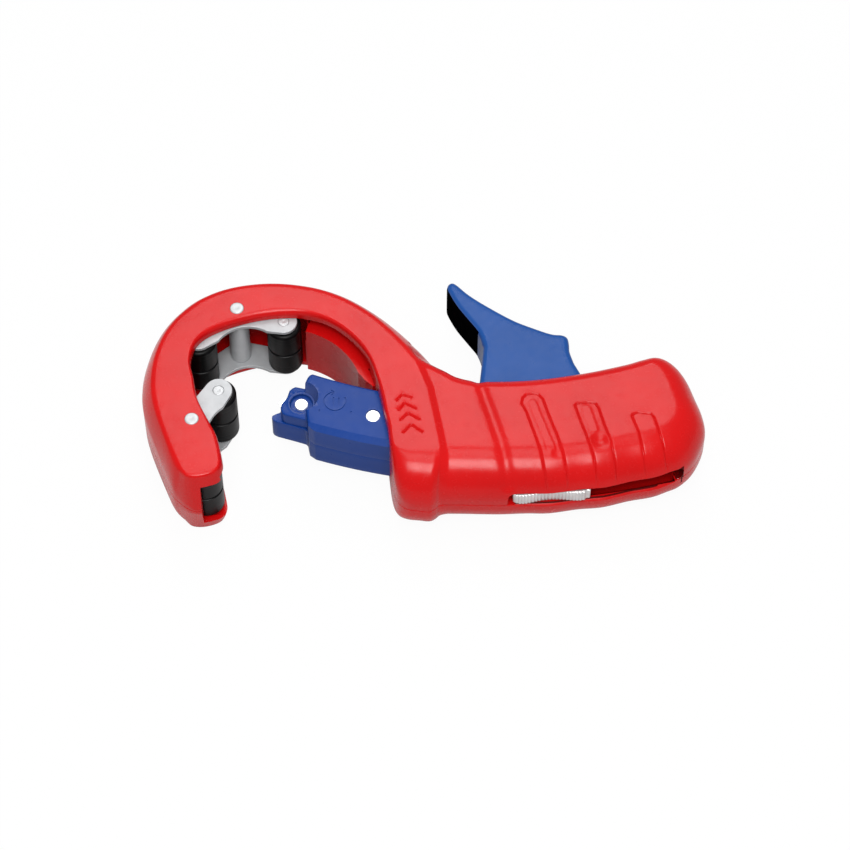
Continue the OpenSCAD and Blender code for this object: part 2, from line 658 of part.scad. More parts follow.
// Front of the upper half, nearly straight across with a round far corner, and of the lower half,
// which carries the nose
upper_front = [[0.926, 1.6], [0.926, 0.655], [0.856, 0.63], [0.781, 0.525], [0.716, 0.31], [0.716, 0.11],
    [0.916, -2.4]];
lower_front = [[0.926, 1.6], [0.926, 0.655], [0.856, 0.63], [0.781, 0.525], [0.757, 0.487], [0.385, 0.475],
    [0.073, 0.294], [-0.055, 0.055], [-0.1, -0.23], [-0.404, -0.31], [-0.404, -0.42], [-0.358, -0.505],
    [-0.248, -0.57], [0.795, -0.892], [0.916, -2.4]];

// Points of an outline, moved outwards from its middle
function grown(pts, gap) = [for (p = pts) let (d = p - middle(pts)) p + gap * d / norm(d)];
function middle(pts) = [for (k = [0, 1]) max([for (p = pts) p[k]]) + min([for (p = pts) p[k]])] / 2;
module blade_pocket() {
    translate([0, 0, -over]) {
        linear_extrude(over + blade_t / 2)
            polygon(grown(blade_body, pocket_gap));
        linear_extrude(over + blade_t * 0.3)
            polygon(grown(blade_point, pocket_gap));
    }
}

// Holes and grooves that both halves have behind the nose
module carriage_cuts(z) {
    translate([carriage_pin_at.x, carriage_pin_at.y, -over])
        cylinder(d = carriage_pin_d + 2 * fixed_gap, h = carriage_top + 2 * over);
    feed_bar(rack_start_s - pocket_gap, tail_back_s + over, -tail_top - over, rack_floor, -over, rack_half_w + fixed_gap);
    translate([blade_screw_at.x, blade_screw_at.y, -over])
        cylinder(d = blade_screw_d + 2 * fixed_gap, h = z + over);
}

// Round arrow mark on the upper half
turn_mark_at = [18.8, -4.4];
turn_mark_r = 3.9;
module turn_mark() {
    translate([turn_mark_at.x, turn_mark_at.y, carriage_top - mark_depth])
        rotate(100)
            rotate_extrude(angle = 285)
                translate([turn_mark_r - line_w / 2, 0])
                    square([line_w, mark_depth + over]);
}

// Step round the blade screw
bore_depth = 1.6;
bore_r = 4.1;
step_shares = [[0.4, 0.49], [0.31, 0.44], [0.2, 0.34], [0.145, 0.06], [-0.06, -0.22], [-0.06, -0.53], [0.075, -0.625],
    [1, -0.885], [1, 0.38], [0.7, 0.38], [0.58, 0.39]];
module carriage_upper() {
    color("#3c5ea8")
        difference() {
            union() {
                difference() {
                    carriage_block(upper_front);
                    translate([blade_screw_at.x, blade_screw_at.y, step_h])
                        cylinder(r1 = screw_bowl_low, r2 = screw_bowl_high, h = carriage_top - step_h + 0.01 * over);
                }
                translate([blade_screw_at.x, blade_screw_at.y, 0])
                    cylinder(r = step_r, h = step_h);
                linear_extrude(step_h)
                    polygon(carriage_half * step_shares);
            }
            blade_pocket();
            carriage_cuts(step_h + over);
            translate([blade_screw_at.x, blade_screw_at.y, step_h - bore_depth])
                cylinder(r = bore_r, h = carriage_top);
            feed_bar(slider_mid_s - slider_stem / 2 - fixed_gap, slider_mid_s + slider_stem / 2 + fixed_gap,
                slider_seat, carriage_half + over, -over, slider_high + fixed_gap);
            for (s = slider_screw_s)
                slider_screw_hole(s);
            turn_mark();
        }
}

module carriage_lower() {
    color("#33509b")
        difference() {
            mirror([0, 0, 1]) carriage_block(lower_front);
            mirror([0, 0, 1]) blade_pocket();
            mirror([0, 0, 1]) carriage_cuts(carriage_top + over);
            for (s = slider_screw_s)
                slider_screw_hole(s);
        }
}

// Blade: a flat plate with a hooked point, ground thinner along its front
blade_body = carriage_half * [[1.28, 0.31], [1.28, -0.42], [0.37, -0.46], [0.11, -0.33], [0.073, 0.09], [0.31, 0.31]];
blade_point = carriage_half * [[0.137, 0.293], [0, 0.376], [-0.174, 0.156], [-0.083, -0.055], [0.12, -0.238]];
module cutting_blade() {
    ground_t = blade_t * 0.45;
    color("lightgray")
        difference() {
            union() {
                translate([0, 0, -blade_t / 2])
                    linear_extrude(blade_t)
                        polygon(blade_body);
                translate([0, 0, -ground_t / 2])
                    linear_extrude(ground_t)
                        polygon(blade_point);
            }
            translate([blade_screw_at.x, blade_screw_at.y, -over])
                cylinder(d = blade_screw_d + 2 * fixed_gap, h = 2 * over);
        }
}

module blade_screw() {
    color("white")
        translate([blade_screw_at.x, blade_screw_at.y, over * 0.6 - carriage_top])
            cylinder(d = blade_screw_d, h = carriage_top + step_h - over * 1.2);
}

module carriage_pin() {
    color("white")
        translate([carriage_pin_at.x, carriage_pin_at.y, over * 0.4 - carriage_top])
            cylinder(d = carriage_pin_d, h = 2 * carriage_top - over * 0.8);
}

// Toothed strip let into the tail's far side
rack_start_s = 62;
rack_floor = 1.2;
rack_half_w = 4;
module feed_rack() {
    teeth = floor((tail_back_s - rack_start_s) / rack_pitch);
    top = [for (k = [0 : teeth - 1]) each
        [on_feed(rack_start_s + k * rack_pitch, rack_tooth - tail_top),
            on_feed(rack_start_s + (k + 0.8) * rack_pitch, -tail_top)]];
    base = [for (k = [teeth : -2 : 0]) on_feed(rack_start_s + k * rack_pitch, rack_floor - 2.5 * fixed_gap)];
    color("dimgray")
        translate([0, 0, -rack_half_w])
            linear_extrude(2 * rack_half_w)
                polygon(concat(top, base));
}

// Thumb slider: a ribbed saddle in the slot, on a stem that is let into the carriage
slider_start_s = 83.8;
slider_mid_s = slider_start_s + slider_len / 2;
slider_stem = 14;
slider_seat = 7;
slider_low = 0.5;
slider_high = slot_w - slider_low;
slider_in = 19.4;
slider_proud = 0.7;
slider_out = grip_near + slider_proud;
slider_rib_h = 0.35;
slider_end_drop = 1.6;
slider_screws_apart = 8;
slider_screw_s = [for (side = [-1, 1]) slider_mid_s + side * slider_screws_apart / 2];
slider_screw_d = 2.4;
slider_screw_grip = 6;
slider_head_d = 4.2;
slider_head_h = 1.6;
module thumb_slider() {
    steps = slider_ribs * 2;
    face = [for (k = [0 : steps])
        let (u = k / steps, dip = slider_dip * pow(sin(180 * u), 2) * (1 - 0.3 * u))
        on_feed(slider_start_s + slider_len * u,
            slider_out - dip - slider_rib_h * (k % 2) - slider_end_drop * pow(2 * u - 1, 8))];
    back = [for (k = [8 : -1 : 0]) on_feed(slider_start_s + slider_len * k / 8, slider_in)];
    color("darkgray")
        difference() {
            union() {
                translate([0, 0, slider_low])
                    linear_extrude(slider_high - slider_low)
                        polygon(concat(face, back));
                feed_bar(slider_mid_s - slider_stem / 2, slider_mid_s + slider_stem / 2, slider_seat + fixed_gap,
                    slider_in + over, slider_low + fixed_gap, slider_high - fixed_gap);
            }
            for (s = slider_screw_s)
                slider_screw_hole(s);
        }
}

// Axis square to the arc, from the rack's floor outwards
module on_slider_axis(s, off) {
    at = on_feed(s, off);
    translate([at.x, at.y, (slider_low + slider_high) / 2])
        rotate(feed_angle(s))
            rotate([90, 0, 0])
                children();
}
module slider_screw_hole(s) {
    on_slider_axis(s, rack_floor - over)
        cylinder(d = slider_screw_d + 2 * fixed_gap, h = slider_seat + slider_screw_grip + over);
    on_slider_axis(s, rack_floor - over)
        cylinder(d = slider_head_d + 4 * run_gap, h = over + slider_head_h + 4 * run_gap);
}
module slider_screws() {
    color("silver")
        for (s = slider_screw_s) {
            on_slider_axis(s, rack_floor + slider_head_h + 4 * run_gap)
                cylinder(d = slider_screw_d, h = slider_seat + slider_screw_grip / 2);
            on_slider_axis(s, rack_floor + 4 * run_gap)
                cylinder(d = slider_head_d, h = slider_head_h);
        }
}

// Lever outline about its pin, as shares of lever_len to the left and of lever_h upwards
fin_shares = [
    [0.205, 0.183], [0.249, 0.292], [0.272, 0.39], [0.275, 0.46], [0.284, 0.512], [0.315, 0.536], [0.377, 0.545],
    [0.469, 0.589], [0.602, 0.665], [0.759, 0.791], [0.866, 0.891], [0.935, 0.975], [0.965, 0.998], [0.99, 0.985],
    [1, 0.95], [0.995, 0.915], [0.946, 0.79], [0.88, 0.67], [0.815, 0.55], [0.785, 0.43], [0.795, 0.292],
    [0.81, 0.115]];
fin_curve = [for (i = [1 : len(fin_shares) - 3]) for (k = [0 : 1])
    let (p = curve_at(fin_shares[i - 1], fin_shares[i], fin_shares[i + 1], fin_shares[i + 2], k / 2))
    [-p.x * lever_len, p.y * lever_h]];
hub_r = 4.6;
fork_half = 3;
module lever_body() {
    first = [-fin_shares[0].x * lever_len, fin_shares[0].y * lever_h];
    last = [for (i = [len(fin_shares) - 2, len(fin_shares) - 1])
        [-fin_shares[i].x * lever_len, fin_shares[i].y * lever_h]];
    root = [[-0.813 * lever_len, 0.037 * lever_h], [-0.5 * lever_len, -0.074 * lever_h], [-hub_r * 2.4, -lever_bottom], [0, -hub_r],
        [0, hub_r], [-hub_r * 1.75, hub_r * 0.72]];
    union() {
        polygon(concat([first], fin_curve, last, root));
        circle(hub_r);
    }
}

// Recess for the pad in the hollow side, as a band along that side
pad_proud = 0.25;
pad_curve = [for (i = [14 : 18]) for (k = [0 : 3])
    let (p = curve_at(fin_shares[i - 1], fin_shares[i], fin_shares[i + 1], fin_shares[i + 2], k / 4))
    [-p.x * lever_len, p.y * lever_h]];
module pad_band(depth, proud) {
    polygon(concat([for (p = pad_curve) p + [-proud, -proud * 0.4]],
        [for (i = [len(pad_curve) - 1 : -1 : 0]) pad_curve[i] + [depth, depth * 0.4]]));
}

module at_lever(z) {
    translate([lever_at.x, lever_at.y, z]) children();
}

module squeeze_lever() {
    color("#3f62b0")
        difference() {
            at_lever(-lever_t / 2)
                linear_extrude(lever_t) lever_body();
            at_lever(-pad_w / 2 - fixed_gap)
                linear_extrude(pad_w + 2 * fixed_gap) pad_band(pad_t, pad_t);
            at_lever(-lever_t / 2 - over)
                cylinder(d = lever_pin_d + 2 * run_gap, h = lever_t + 2 * over);
            translate([pawl_at.x, pawl_at.y, -lever_t / 2 - over])
                cylinder(d = pawl_pin_d + 2 * fixed_gap, h = lever_t + 2 * over);
            at_lever(-fork_half)
                linear_extrude(2 * fork_half)
                    polygon(lever_len * [[-0.51, -0.2], [-0.51, -0.02], [-0.34, 0.056], [-0.26, 0.108], [-0.13, 0.108],
                        [0, 0.082], [0.1, 0.082], [0.1, -0.2]]);
        }
}

module lever_pad() {
    color("#17161a")
        at_lever(-pad_w / 2)
            linear_extrude(pad_w) pad_band(pad_t - fixed_gap, pad_proud);
}

module lever_pin() {
    color("silver")
        at_lever(side_gap - cavity_h)
            cylinder(d = lever_pin_d, h = 2 * cavity_h - 2 * side_gap);
}

// Return spring, whose coil sits in the lever's fork round the pin
coil_gap = 0.2;
module lever_spring() {
    coil_half = fork_half - coil_gap;
    wire = 1.2;
    coil_in = lever_pin_d / 2 + 1.5 * coil_gap;
    color("silver")
        at_lever(-coil_half)
            difference() {
                cylinder(r = coil_in + wire, h = 2 * coil_half);
                translate([0, 0, -over])
                    cylinder(r = coil_in, h = 2 * coil_half + 2 * over);
            }
}

// Pawl: a hub on its pin and a nose that reaches the rack's teeth
pawl_reach = 17.4;
pawl_slope = 227.5;
pawl_hub_r = 3.2;
pawl_tip_r = 0.8;
pawl_low = -2.7;
pawl_high = 1.3;
module feed_pawl() {
    tip = polar(pawl_reach, pawl_slope);
    color("darkslategray")
        translate([pawl_at.x, pawl_at.y, pawl_low])
            linear_extrude(pawl_high - pawl_low)
                difference() {
                    link_2d([0, 0], pawl_hub_r, tip, pawl_tip_r);
                    circle(d = pawl_pin_d + 2 * run_gap);
                }
}

module pawl_pin() {
    color("silver")
        translate([pawl_at.x, pawl_at.y, over / 2 - lever_t / 2])
            cylinder(d = pawl_pin_d, h = lever_t - over);
}

module pawl_spring() {
    low = pawl_high + coil_gap;
    wire = 0.8;
    coil_in = pawl_pin_d / 2 + coil_gap;
    color("silver")
        translate([pawl_at.x, pawl_at.y, low])
            difference() {
                cylinder(r = coil_in + wire, h = fork_half - coil_gap - low);
                translate([0, 0, -over])
                    cylinder(r = coil_in, h = 2 * over + fork_half);
            }
}

// Leaf spring on the lower shell's floor, bowed up to the tail's underside
leaf_t = 0.5;
leaf_half = 11;
leaf_w = 4;
leaf_s = neck_wall + guide_rib_w + leaf_half;
module brake_leaf() {
    at = on_feed(leaf_s, carriage_half * 0.404);
    low = -cavity_h;
    high = -carriage_top - side_gap;
    right = [[leaf_half * 0.2, high - leaf_t], [leaf_half * 0.55, low], [leaf_half, low]];
    up = concat([for (i = [2 : -1 : 0]) [-right[i].x, right[i].y]], right);
    down = [for (i = [len(up) - 1 : -1 : 0]) up[i] + [0, leaf_t]];
    color("silver")
        translate(at)
            rotate(feed_angle(leaf_s))
                rotate([90, 0, 0])
                    linear_extrude(leaf_w, center = true)
                        polygon(concat(up, down));
}

upper_shell();
lower_shell();
shell_screws();
hook_rivet_a();
hook_rivet_b();
rocker_a_upper_plate();
rocker_a_lower_plate();
rocker_a_bush();
rocker_b_upper_plate();
rocker_b_lower_plate();
rocker_b_bush();
roller_1();
roller_2();
roller_3();
roller_4();
roller_pin_1();
roller_pin_2();
roller_pin_3();
roller_pin_4();
carriage_upper();
carriage_lower();
cutting_blade();
blade_screw();
carriage_pin();
feed_rack();
thumb_slider();
slider_screws();
squeeze_lever();
lever_pad();
lever_pin();
lever_spring();
feed_pawl();
pawl_pin();
pawl_spring();
brake_leaf();
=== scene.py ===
# Looks of the plastic pipe cutter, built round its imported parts. Lengths are in millimetres.
import math

import bmesh
import bpy
import numpy as np
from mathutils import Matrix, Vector
from mathutils.geometry import delaunay_2d_cdt


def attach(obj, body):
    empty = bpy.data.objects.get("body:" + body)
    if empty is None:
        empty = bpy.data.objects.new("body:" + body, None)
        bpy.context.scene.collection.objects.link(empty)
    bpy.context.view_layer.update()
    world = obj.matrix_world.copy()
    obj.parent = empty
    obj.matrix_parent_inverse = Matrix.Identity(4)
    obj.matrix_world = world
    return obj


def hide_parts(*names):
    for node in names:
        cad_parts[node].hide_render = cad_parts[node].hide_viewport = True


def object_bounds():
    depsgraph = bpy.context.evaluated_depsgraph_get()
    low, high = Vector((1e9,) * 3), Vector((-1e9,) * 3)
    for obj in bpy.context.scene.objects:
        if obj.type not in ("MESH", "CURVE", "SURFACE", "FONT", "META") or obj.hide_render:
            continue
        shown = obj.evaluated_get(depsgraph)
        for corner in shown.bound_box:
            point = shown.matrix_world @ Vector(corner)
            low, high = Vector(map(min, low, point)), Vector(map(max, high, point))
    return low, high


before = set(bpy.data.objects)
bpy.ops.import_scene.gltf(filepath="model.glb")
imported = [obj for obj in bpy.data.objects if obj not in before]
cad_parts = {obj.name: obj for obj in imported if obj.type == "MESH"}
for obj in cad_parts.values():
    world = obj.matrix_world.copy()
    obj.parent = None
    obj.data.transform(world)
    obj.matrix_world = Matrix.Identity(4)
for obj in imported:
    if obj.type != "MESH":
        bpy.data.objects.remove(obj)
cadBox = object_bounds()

mm = 0.001
print("frame loaded")

# Places that several pieces share. The feed arc is the carriage's path: s runs along it from the blade's point
# into the grip, and off lies beyond it, towards the near side.
feedArc = {"radius": 207.0, "tilt": 22.4}
hook = {"outer": 50.255, "lip": 29.655, "rivet": 35.355, "half": 18.0, "bevel": 9.0, "lipEdge": 2.5}
grip = {"end": 152.0, "near": 25.4, "far": 19.0, "nearRound": 15.0, "farEdge": 5.0, "collarStep": 1.0}
rivetPlaces = {"a": (hook["rivet"], 118.7), "b": (hook["rivet"], 207.1)}


def polar(r, a):
    # point at radius r and angle a, in degrees
    a = np.radians(a)
    return np.stack([r * np.cos(a), r * np.sin(a)], -1)


tilt = math.radians(feedArc["tilt"])
feedCentre = feedArc["radius"] * np.array([math.sin(tilt), math.cos(tilt)])


def onFeed(s, off):
    # point at distance s along the feed arc, and off beyond it
    s, off = np.broadcast_arrays(np.asarray(s, float), np.asarray(off, float))
    a = s / feedArc["radius"] - tilt
    r = feedArc["radius"] + off
    return feedCentre + np.stack([r * np.sin(a), -r * np.cos(a)], -1)


def feedPlace(xy):
    # the reverse: distance along the feed arc, and distance beyond it
    d = xy - feedCentre
    s = (np.arctan2(d[..., 0], -d[..., 1]) + tilt) * feedArc["radius"]
    return np.stack([s, np.hypot(d[..., 0], d[..., 1]) - feedArc["radius"]], -1)


rollerPlaces = np.array([(-0.237, 28.059), (-30.732, 21.019), (-22.769, -1.503), (-27.016, -32.511)])
leverPin = onFeed(124.64, -10.754)
bladeScrew = onFeed(6.9, -0.5)
carriagePin = onFeed(34.1, 0.0)
screwPlaces = [polar(hook["outer"] * 0.81, 43), onFeed(63.84, 19.812), onFeed(145.16, -1.9),
               onFeed(134.52, -13.11)]


def nodeKit(owner):
    # Small functions that add nodes to an owner's empty tree and join them. A setting that the node itself lacks
    # goes to its socket, and a socket is given by name or number.
    owner.use_nodes = True
    tree = owner.node_tree
    tree.nodes.clear()

    def add(kind, **settings):
        node = tree.nodes.new("ShaderNode" + kind)
        for key, value in settings.items():
            if hasattr(node, key):
                setattr(node, key, value)
            else:
                node.inputs[key.replace("_", " ")].default_value = value
        return node

    def join(a, outName, b, inName):
        tree.links.new(a.outputs[outName], b.inputs[inName])

    return add, join


def shade(color, k, more=0.0):
    # the colour times the factor k, and a little more
    return tuple(min(1.0, c * k + more) for c in color) + (1.0,)


class Finish:
    # A new material with its shader, and the steps that the three kinds of finish share.
    def __init__(self, name, specular, bare=0.0):
        self.mat = bpy.data.materials.new(name)
        self.add, self.join = nodeKit(self.mat)
        self.skin = self.add("BsdfPrincipled", Specular_IOR_Level=specular, Metallic=bare)
        self.join(self.skin, "BSDF", self.add("OutputMaterial"), "Surface")
        self.place = self.add("TexCoord")

    def noise(self, scale, detail, rough, brush=None):
        # noise of the object's own coordinates, stretched where a brush is given
        node = self.add("TexNoise", Scale=scale, Detail=detail, Roughness=rough)
        where, way = self.place, "Object"
        if brush:
            where, way = self.add("Mapping", Scale=brush), "Vector"
            self.join(self.place, "Object", where, "Vector")
        self.join(where, way, node, "Vector")
        return node

    def tone(self, pattern, low, high, dark, light):
        # the pattern's values from low to high, as colours from dark to light
        ramp = self.add("ValToRGB")
        for element, at, color in zip(ramp.color_ramp.elements, (low, high), (dark, light)):
            element.position, element.color = at, color
        self.join(pattern, "Fac", ramp, "Fac")
        return ramp

    def roughen(self, pattern, low, high, least, most):
        # the pattern's values from low to high, as the shader's roughness
        span = self.add("MapRange", From_Min=low, From_Max=high, To_Min=least, To_Max=most)
        self.join(pattern, "Fac", span, "Value")
        self.join(span, "Result", self.skin, "Roughness")

    def bump(self, pattern, strength, depth, over=None):
        # relief by the pattern, over an earlier relief if one is given
        node = self.add("Bump", Strength=strength, Distance=depth)
        self.join(pattern, "Fac", node, "Height")
        if over:
            self.join(over, "Normal", node, "Normal")
        self.join(node, "Normal", self.skin, "Normal")
        return node


def moulded(name, color, rough, grain, specular, wear=0.12):
    # Moulded plastic. Colour = base, darker in slow patches and paler on worn edges; roughness = base plus
    # fine noise; bump = fine spark-eroded grain under slow sink waves.
    f = Finish(name, specular)
    slow, fine, speck = f.noise(50.0, 3.0, 0.55), f.noise(2200.0, 2.0, 0.6), f.noise(420.0, 4.0, 0.65)
    tone = f.tone(slow, 0.3, 0.72, shade(color, 0.93), shade(color, 1.05))
    edge = f.add("MapRange", From_Min=0.53, From_Max=0.62, To_Max=wear)
    f.join(f.add("NewGeometry"), "Pointiness", edge, "Value")
    worn = f.add("Mix", data_type="RGBA")
    colorA, colorB, mixed = 6, 7, 2     # sockets of the colour kind, by number
    f.join(edge, "Result", worn, "Factor")
    f.join(tone, "Color", worn, colorA)
    worn.inputs[colorB].default_value = shade(color, 0.6, 0.3)
    f.join(worn, mixed, f.skin, "Base Color")
    f.roughen(speck, 0.3, 0.7, rough - 0.05, rough + 0.06)
    f.bump(slow, 0.25, 0.0004, over=f.bump(fine, grain, 0.00004))
    return f.mat


def metal(name, color, rough, brush=(1, 1, 1), stain=0.25, scratch=0.35, bumpy=0.3, bare=1.0):
    # Steel. Colour = base with slow stains; roughness = base plus brushed streaks, from noise stretched by
    # brush; bump = the same streaks.
    f = Finish(name, 0.3, bare)
    slow, streak = f.noise(180.0, 4.0, 0.6), f.noise(900.0, 5.0, 0.7, brush)
    f.join(f.tone(slow, 0.32, 0.66, shade(color, 1 - stain), shade(color, 1.04)), "Color", f.skin, "Base Color")
    f.roughen(streak, 0.3, 0.7, max(0.05, rough - 0.3 * scratch), rough + 0.3 * scratch)
    f.bump(streak, bumpy, 0.00003)
    return f.mat


def rubbery(name, color, rough, grain, specular):
    # Black rubber or nylon. Colour = base with paler dust in slow patches; roughness = base plus noise;
    # bump = a fine skin.
    f = Finish(name, specular)
    slow, fine = f.noise(160.0, 5.0, 0.62), f.noise(2600.0, 3.0, 0.6)
    f.join(f.tone(slow, 0.35, 0.7, shade(color, 0.8), shade(color, 1, 0.001)), "Color", f.skin, "Base Color")
    f.roughen(slow, 0, 1, rough - 0.08, rough + 0.1)
    f.bump(fine, grain, 0.00004)
    return f.mat


# each finish: its kind, its colour, its roughness and what else that kind takes
recipes = {
    "shellRed": (moulded, (0.45, 0.0025, 0.003), 0.24, {"grain": 0.15, "specular": 0.19, "wear": 0.0}),
    # painted shade: a near-black red that stands in for the shade inside the thumb slot
    "slotRed": (moulded, (0.07, 0.0006, 0.0006), 0.5, {"grain": 0.3, "specular": 0.03, "wear": 0.0}),
    "carriageBlue": (moulded, (0.003, 0.032, 0.185), 0.32, {"grain": 0.2, "specular": 0.14}),
    "leverBlue": (moulded, (0.008, 0.055, 0.225), 0.32, {"grain": 0.2, "specular": 0.16}),
    "rollerBlack": (rubbery, (0.002, 0.0018, 0.002), 0.34, {"grain": 0.2, "specular": 0.1}),
    "padBlack": (rubbery, (0.0005, 0.0005, 0.0007), 0.6, {"grain": 0.3, "specular": 0.0}),
    "plateSteel": (metal, (0.40, 0.41, 0.42), 0.5,
                   {"brush": (1, 6, 1), "stain": 0.12, "scratch": 0.2, "bumpy": 0.12, "bare": 0.3}),
    "rivetSteel": (metal, (0.46, 0.47, 0.48), 0.42, {"stain": 0.1, "scratch": 0.2, "bumpy": 0.1, "bare": 0.35}),
    "pinSteel": (metal, (0.93, 0.93, 0.93), 0.3, {"stain": 0.06, "scratch": 0.2, "bumpy": 0.1, "bare": 0.7}),
    "bladeSteel": (metal, (0.74, 0.75, 0.77), 0.26, {"brush": (8, 1, 1)}),
    "sliderSteel": (metal, (0.60, 0.59, 0.59), 0.36, {"stain": 0.15, "bare": 0.7}),
    "darkSteel": (metal, (0.30, 0.29, 0.28), 0.42, {"stain": 0.35}),
}
finishes = {name: kind(name, color, rough, **more) for name, (kind, color, rough, more) in recipes.items()}
print("finishes made")


def ringQuads(count, n):
    # four-sided faces between each of count rings of n points and the next
    k, i = np.meshgrid(np.arange(count - 1), np.arange(n), indexing="ij")
    j = (i + 1) % n
    return np.stack([k * n + i, k * n + j, (k + 1) * n + j, (k + 1) * n + i], -1).reshape(-1, 4)


def counterclockwise(outline):
    # the outline, turned round if its area comes out negative
    outline = np.asarray(outline, float)
    x, y = outline[:, 0], outline[:, 1]
    area = np.sum(x * np.roll(y, -1) - y * np.roll(x, -1))
    return outline if area > 0 else outline[::-1]


def rawObject(name, points, faces):
    # points in millimetres and faces, as a new object at the origin
    mesh = bpy.data.meshes.new(name)
    mesh.from_pydata((np.asarray(points, float) * mm).tolist(), [], [list(map(int, f)) for f in faces])
    bm = bmesh.new()
    bm.from_mesh(mesh)
    bmesh.ops.recalc_face_normals(bm, faces=bm.faces)
    bm.to_mesh(mesh)
    bm.free()
    obj = bpy.data.objects.new(name, mesh)
    bpy.context.scene.collection.objects.link(obj)
    return obj


def tube(name, rings):
    # closed solid through rings of equally many points, with one face over each end
    rings = np.asarray(rings, float)
    count, n = rings.shape[:2]
    ends = [list(range(n - 1, -1, -1)), list(range((count - 1) * n, count * n))]
    return rawObject(name, rings.reshape(-1, 3), ringQuads(count, n).tolist() + ends)


def raised(outline, z):
    # the flat outline at height z
    return np.c_[outline, np.full(len(outline), z)]


def upright(outline, heights, side=1):
    # solid between two heights over the outline, turned over where side is -1, for the lower half
    outline = counterclockwise(outline)
    return tube("tool", [raised(outline, z) for z in sorted(side * h for h in heights)])


def feedShape(s0, s1, off0, off1, step=1.5):
    # outline of a bar along the feed arc
    s = np.linspace(s0, s1, max(2, int((s1 - s0) / step) + 1))
    return np.vstack([onFeed(s, off1), onFeed(s[::-1], off0)])


def ringShape(a0, a1, r0, r1, step=2.0):
    # outline of a bar round the pipe's axis
    a = np.linspace(a0, a1, max(2, int((a1 - a0) / step) + 1))
    return np.vstack([polar(r1, a), polar(r0, a[::-1])])


def discShape(at, r, n=48):
    return np.asarray(at) + polar(r, np.arange(n) * 360 / n)


def boxShape(x0, x1, y0, y1):
    return np.array([(x0, y0), (x1, y0), (x1, y1), (x0, y1)], float)


def arcPoints(x, y, r, a0, a1, count=7):
    # points of an arc about (x, y)
    return np.array([x, y]) + polar(r, np.linspace(a0, a1, count))


def less(*tools):
    return [("DIFFERENCE", tool) for tool in tools]


def plus(*tools):
    return [("UNION", tool) for tool in tools]


def shaped(obj, steps):
    # obj after the boolean steps, each (operation, other object); the others are then removed
    for operation, other in steps:
        mod = obj.modifiers.new("cut", "BOOLEAN")
        mod.operation, mod.object, mod.solver = operation, other, "MANIFOLD"
    bpy.context.view_layer.update()
    done = bpy.data.meshes.new_from_object(obj.evaluated_get(bpy.context.evaluated_depsgraph_get()))
    obj.modifiers.clear()
    old, obj.data = obj.data, done
    bpy.data.meshes.remove(old)
    for _, other in steps:
        bpy.data.objects.remove(other)
    return obj


def dress(obj, finish, body, node, angle):
    # the finish, smooth shading up to an angle, the body it rides on and the CAD piece it stands for
    mesh = obj.data
    mesh.materials.clear()
    mesh.materials.append(finishes[finish])
    mesh.shade_smooth()
    mesh.set_sharp_from_angle(angle=math.radians(angle))
    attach(obj, body)
    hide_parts(node)


def withinCad(points, hair=0.002):
    # points kept a hair inside the CAD model's box
    low, high = (np.array(corner) / mm for corner in cadBox)
    return np.clip(points, low + hair, high - hair)


def softened(node, name, finish, body, width, segments, sharp=28):
    # A merged copy of a CAD piece whose sharp edges are rounded: corners within two micrometres become one, flat
    # neighbours become one face, and a bevel of that width follows every edge sharper than the angle.
    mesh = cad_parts[node].data.copy()
    bm = bmesh.new()
    bm.from_mesh(mesh)
    bmesh.ops.remove_doubles(bm, verts=bm.verts, dist=2e-6)
    bmesh.ops.dissolve_limit(bm, angle_limit=math.radians(0.4), verts=bm.verts, edges=bm.edges)
    bm.to_mesh(mesh)
    bm.free()
    obj = bpy.data.objects.new(name, mesh)
    bpy.context.scene.collection.objects.link(obj)
    bevel = obj.modifiers.new("edges", "BEVEL")
    bevel.width, bevel.segments, bevel.limit_method = width * mm, segments, "ANGLE"
    bevel.angle_limit = math.radians(sharp)
    dress(obj, finish, body, node, 40)


def lathe(name, profile, at, n=72):
    # a profile of (radius, height) turned about the upright line through at; it has a bore if it ends where it
    # starts
    profile = np.asarray(profile, float)
    a = np.arange(n) * 2 * np.pi / n
    r, z = profile[:, :1], profile[:, 1:]
    rings = np.stack([at[0] + r * np.cos(a), at[1] + r * np.sin(a), np.repeat(z, n, 1)], -1)
    if not np.allclose(profile[0], profile[-1]):
        return tube(name, rings)
    faces = ringQuads(len(profile), n) % ((len(profile) - 1) * n)
    return rawObject(name, rings[:-1].reshape(-1, 3), faces)


def steered(a, b, c, d, t):
    # cubic from b to c that their neighbours a and d steer
    return (b + (c - a) * t / 2 + (2 * a - 5 * b + 4 * c - d) * t**2 / 2
            + (3 * b - a - 3 * c + d) * t**3 / 2)


def smoothRows(rows, spacing):
    # closed smooth curve through the rows, in steps of about the spacing given for each row
    a, b, c, d = (np.roll(rows, k, 0) for k in (1, 0, -1, -2))
    steps = np.maximum(2, np.ceil(np.hypot(*(c - b)[:, :2].T) / spacing)).astype(int)
    seg = np.repeat(np.arange(len(rows)), steps)
    t = (np.arange(len(seg)) - np.repeat(np.cumsum(steps) - steps, steps)) / np.repeat(steps, steps)
    return steered(a[seg], b[seg], c[seg], d[seg], t[:, None])


def openCurve(points, count):
    # smooth open curve through the points, count steps between each two
    p = np.vstack([2 * points[0] - points[1], points, 2 * points[-1] - points[-2]])
    t = (np.arange(count) / count)[None, :, None]
    curve = steered(p[:-3, None], p[1:-2, None], p[2:-1, None], p[3:, None], t)
    return np.vstack([curve.reshape(-1, 2), points[-1:]])


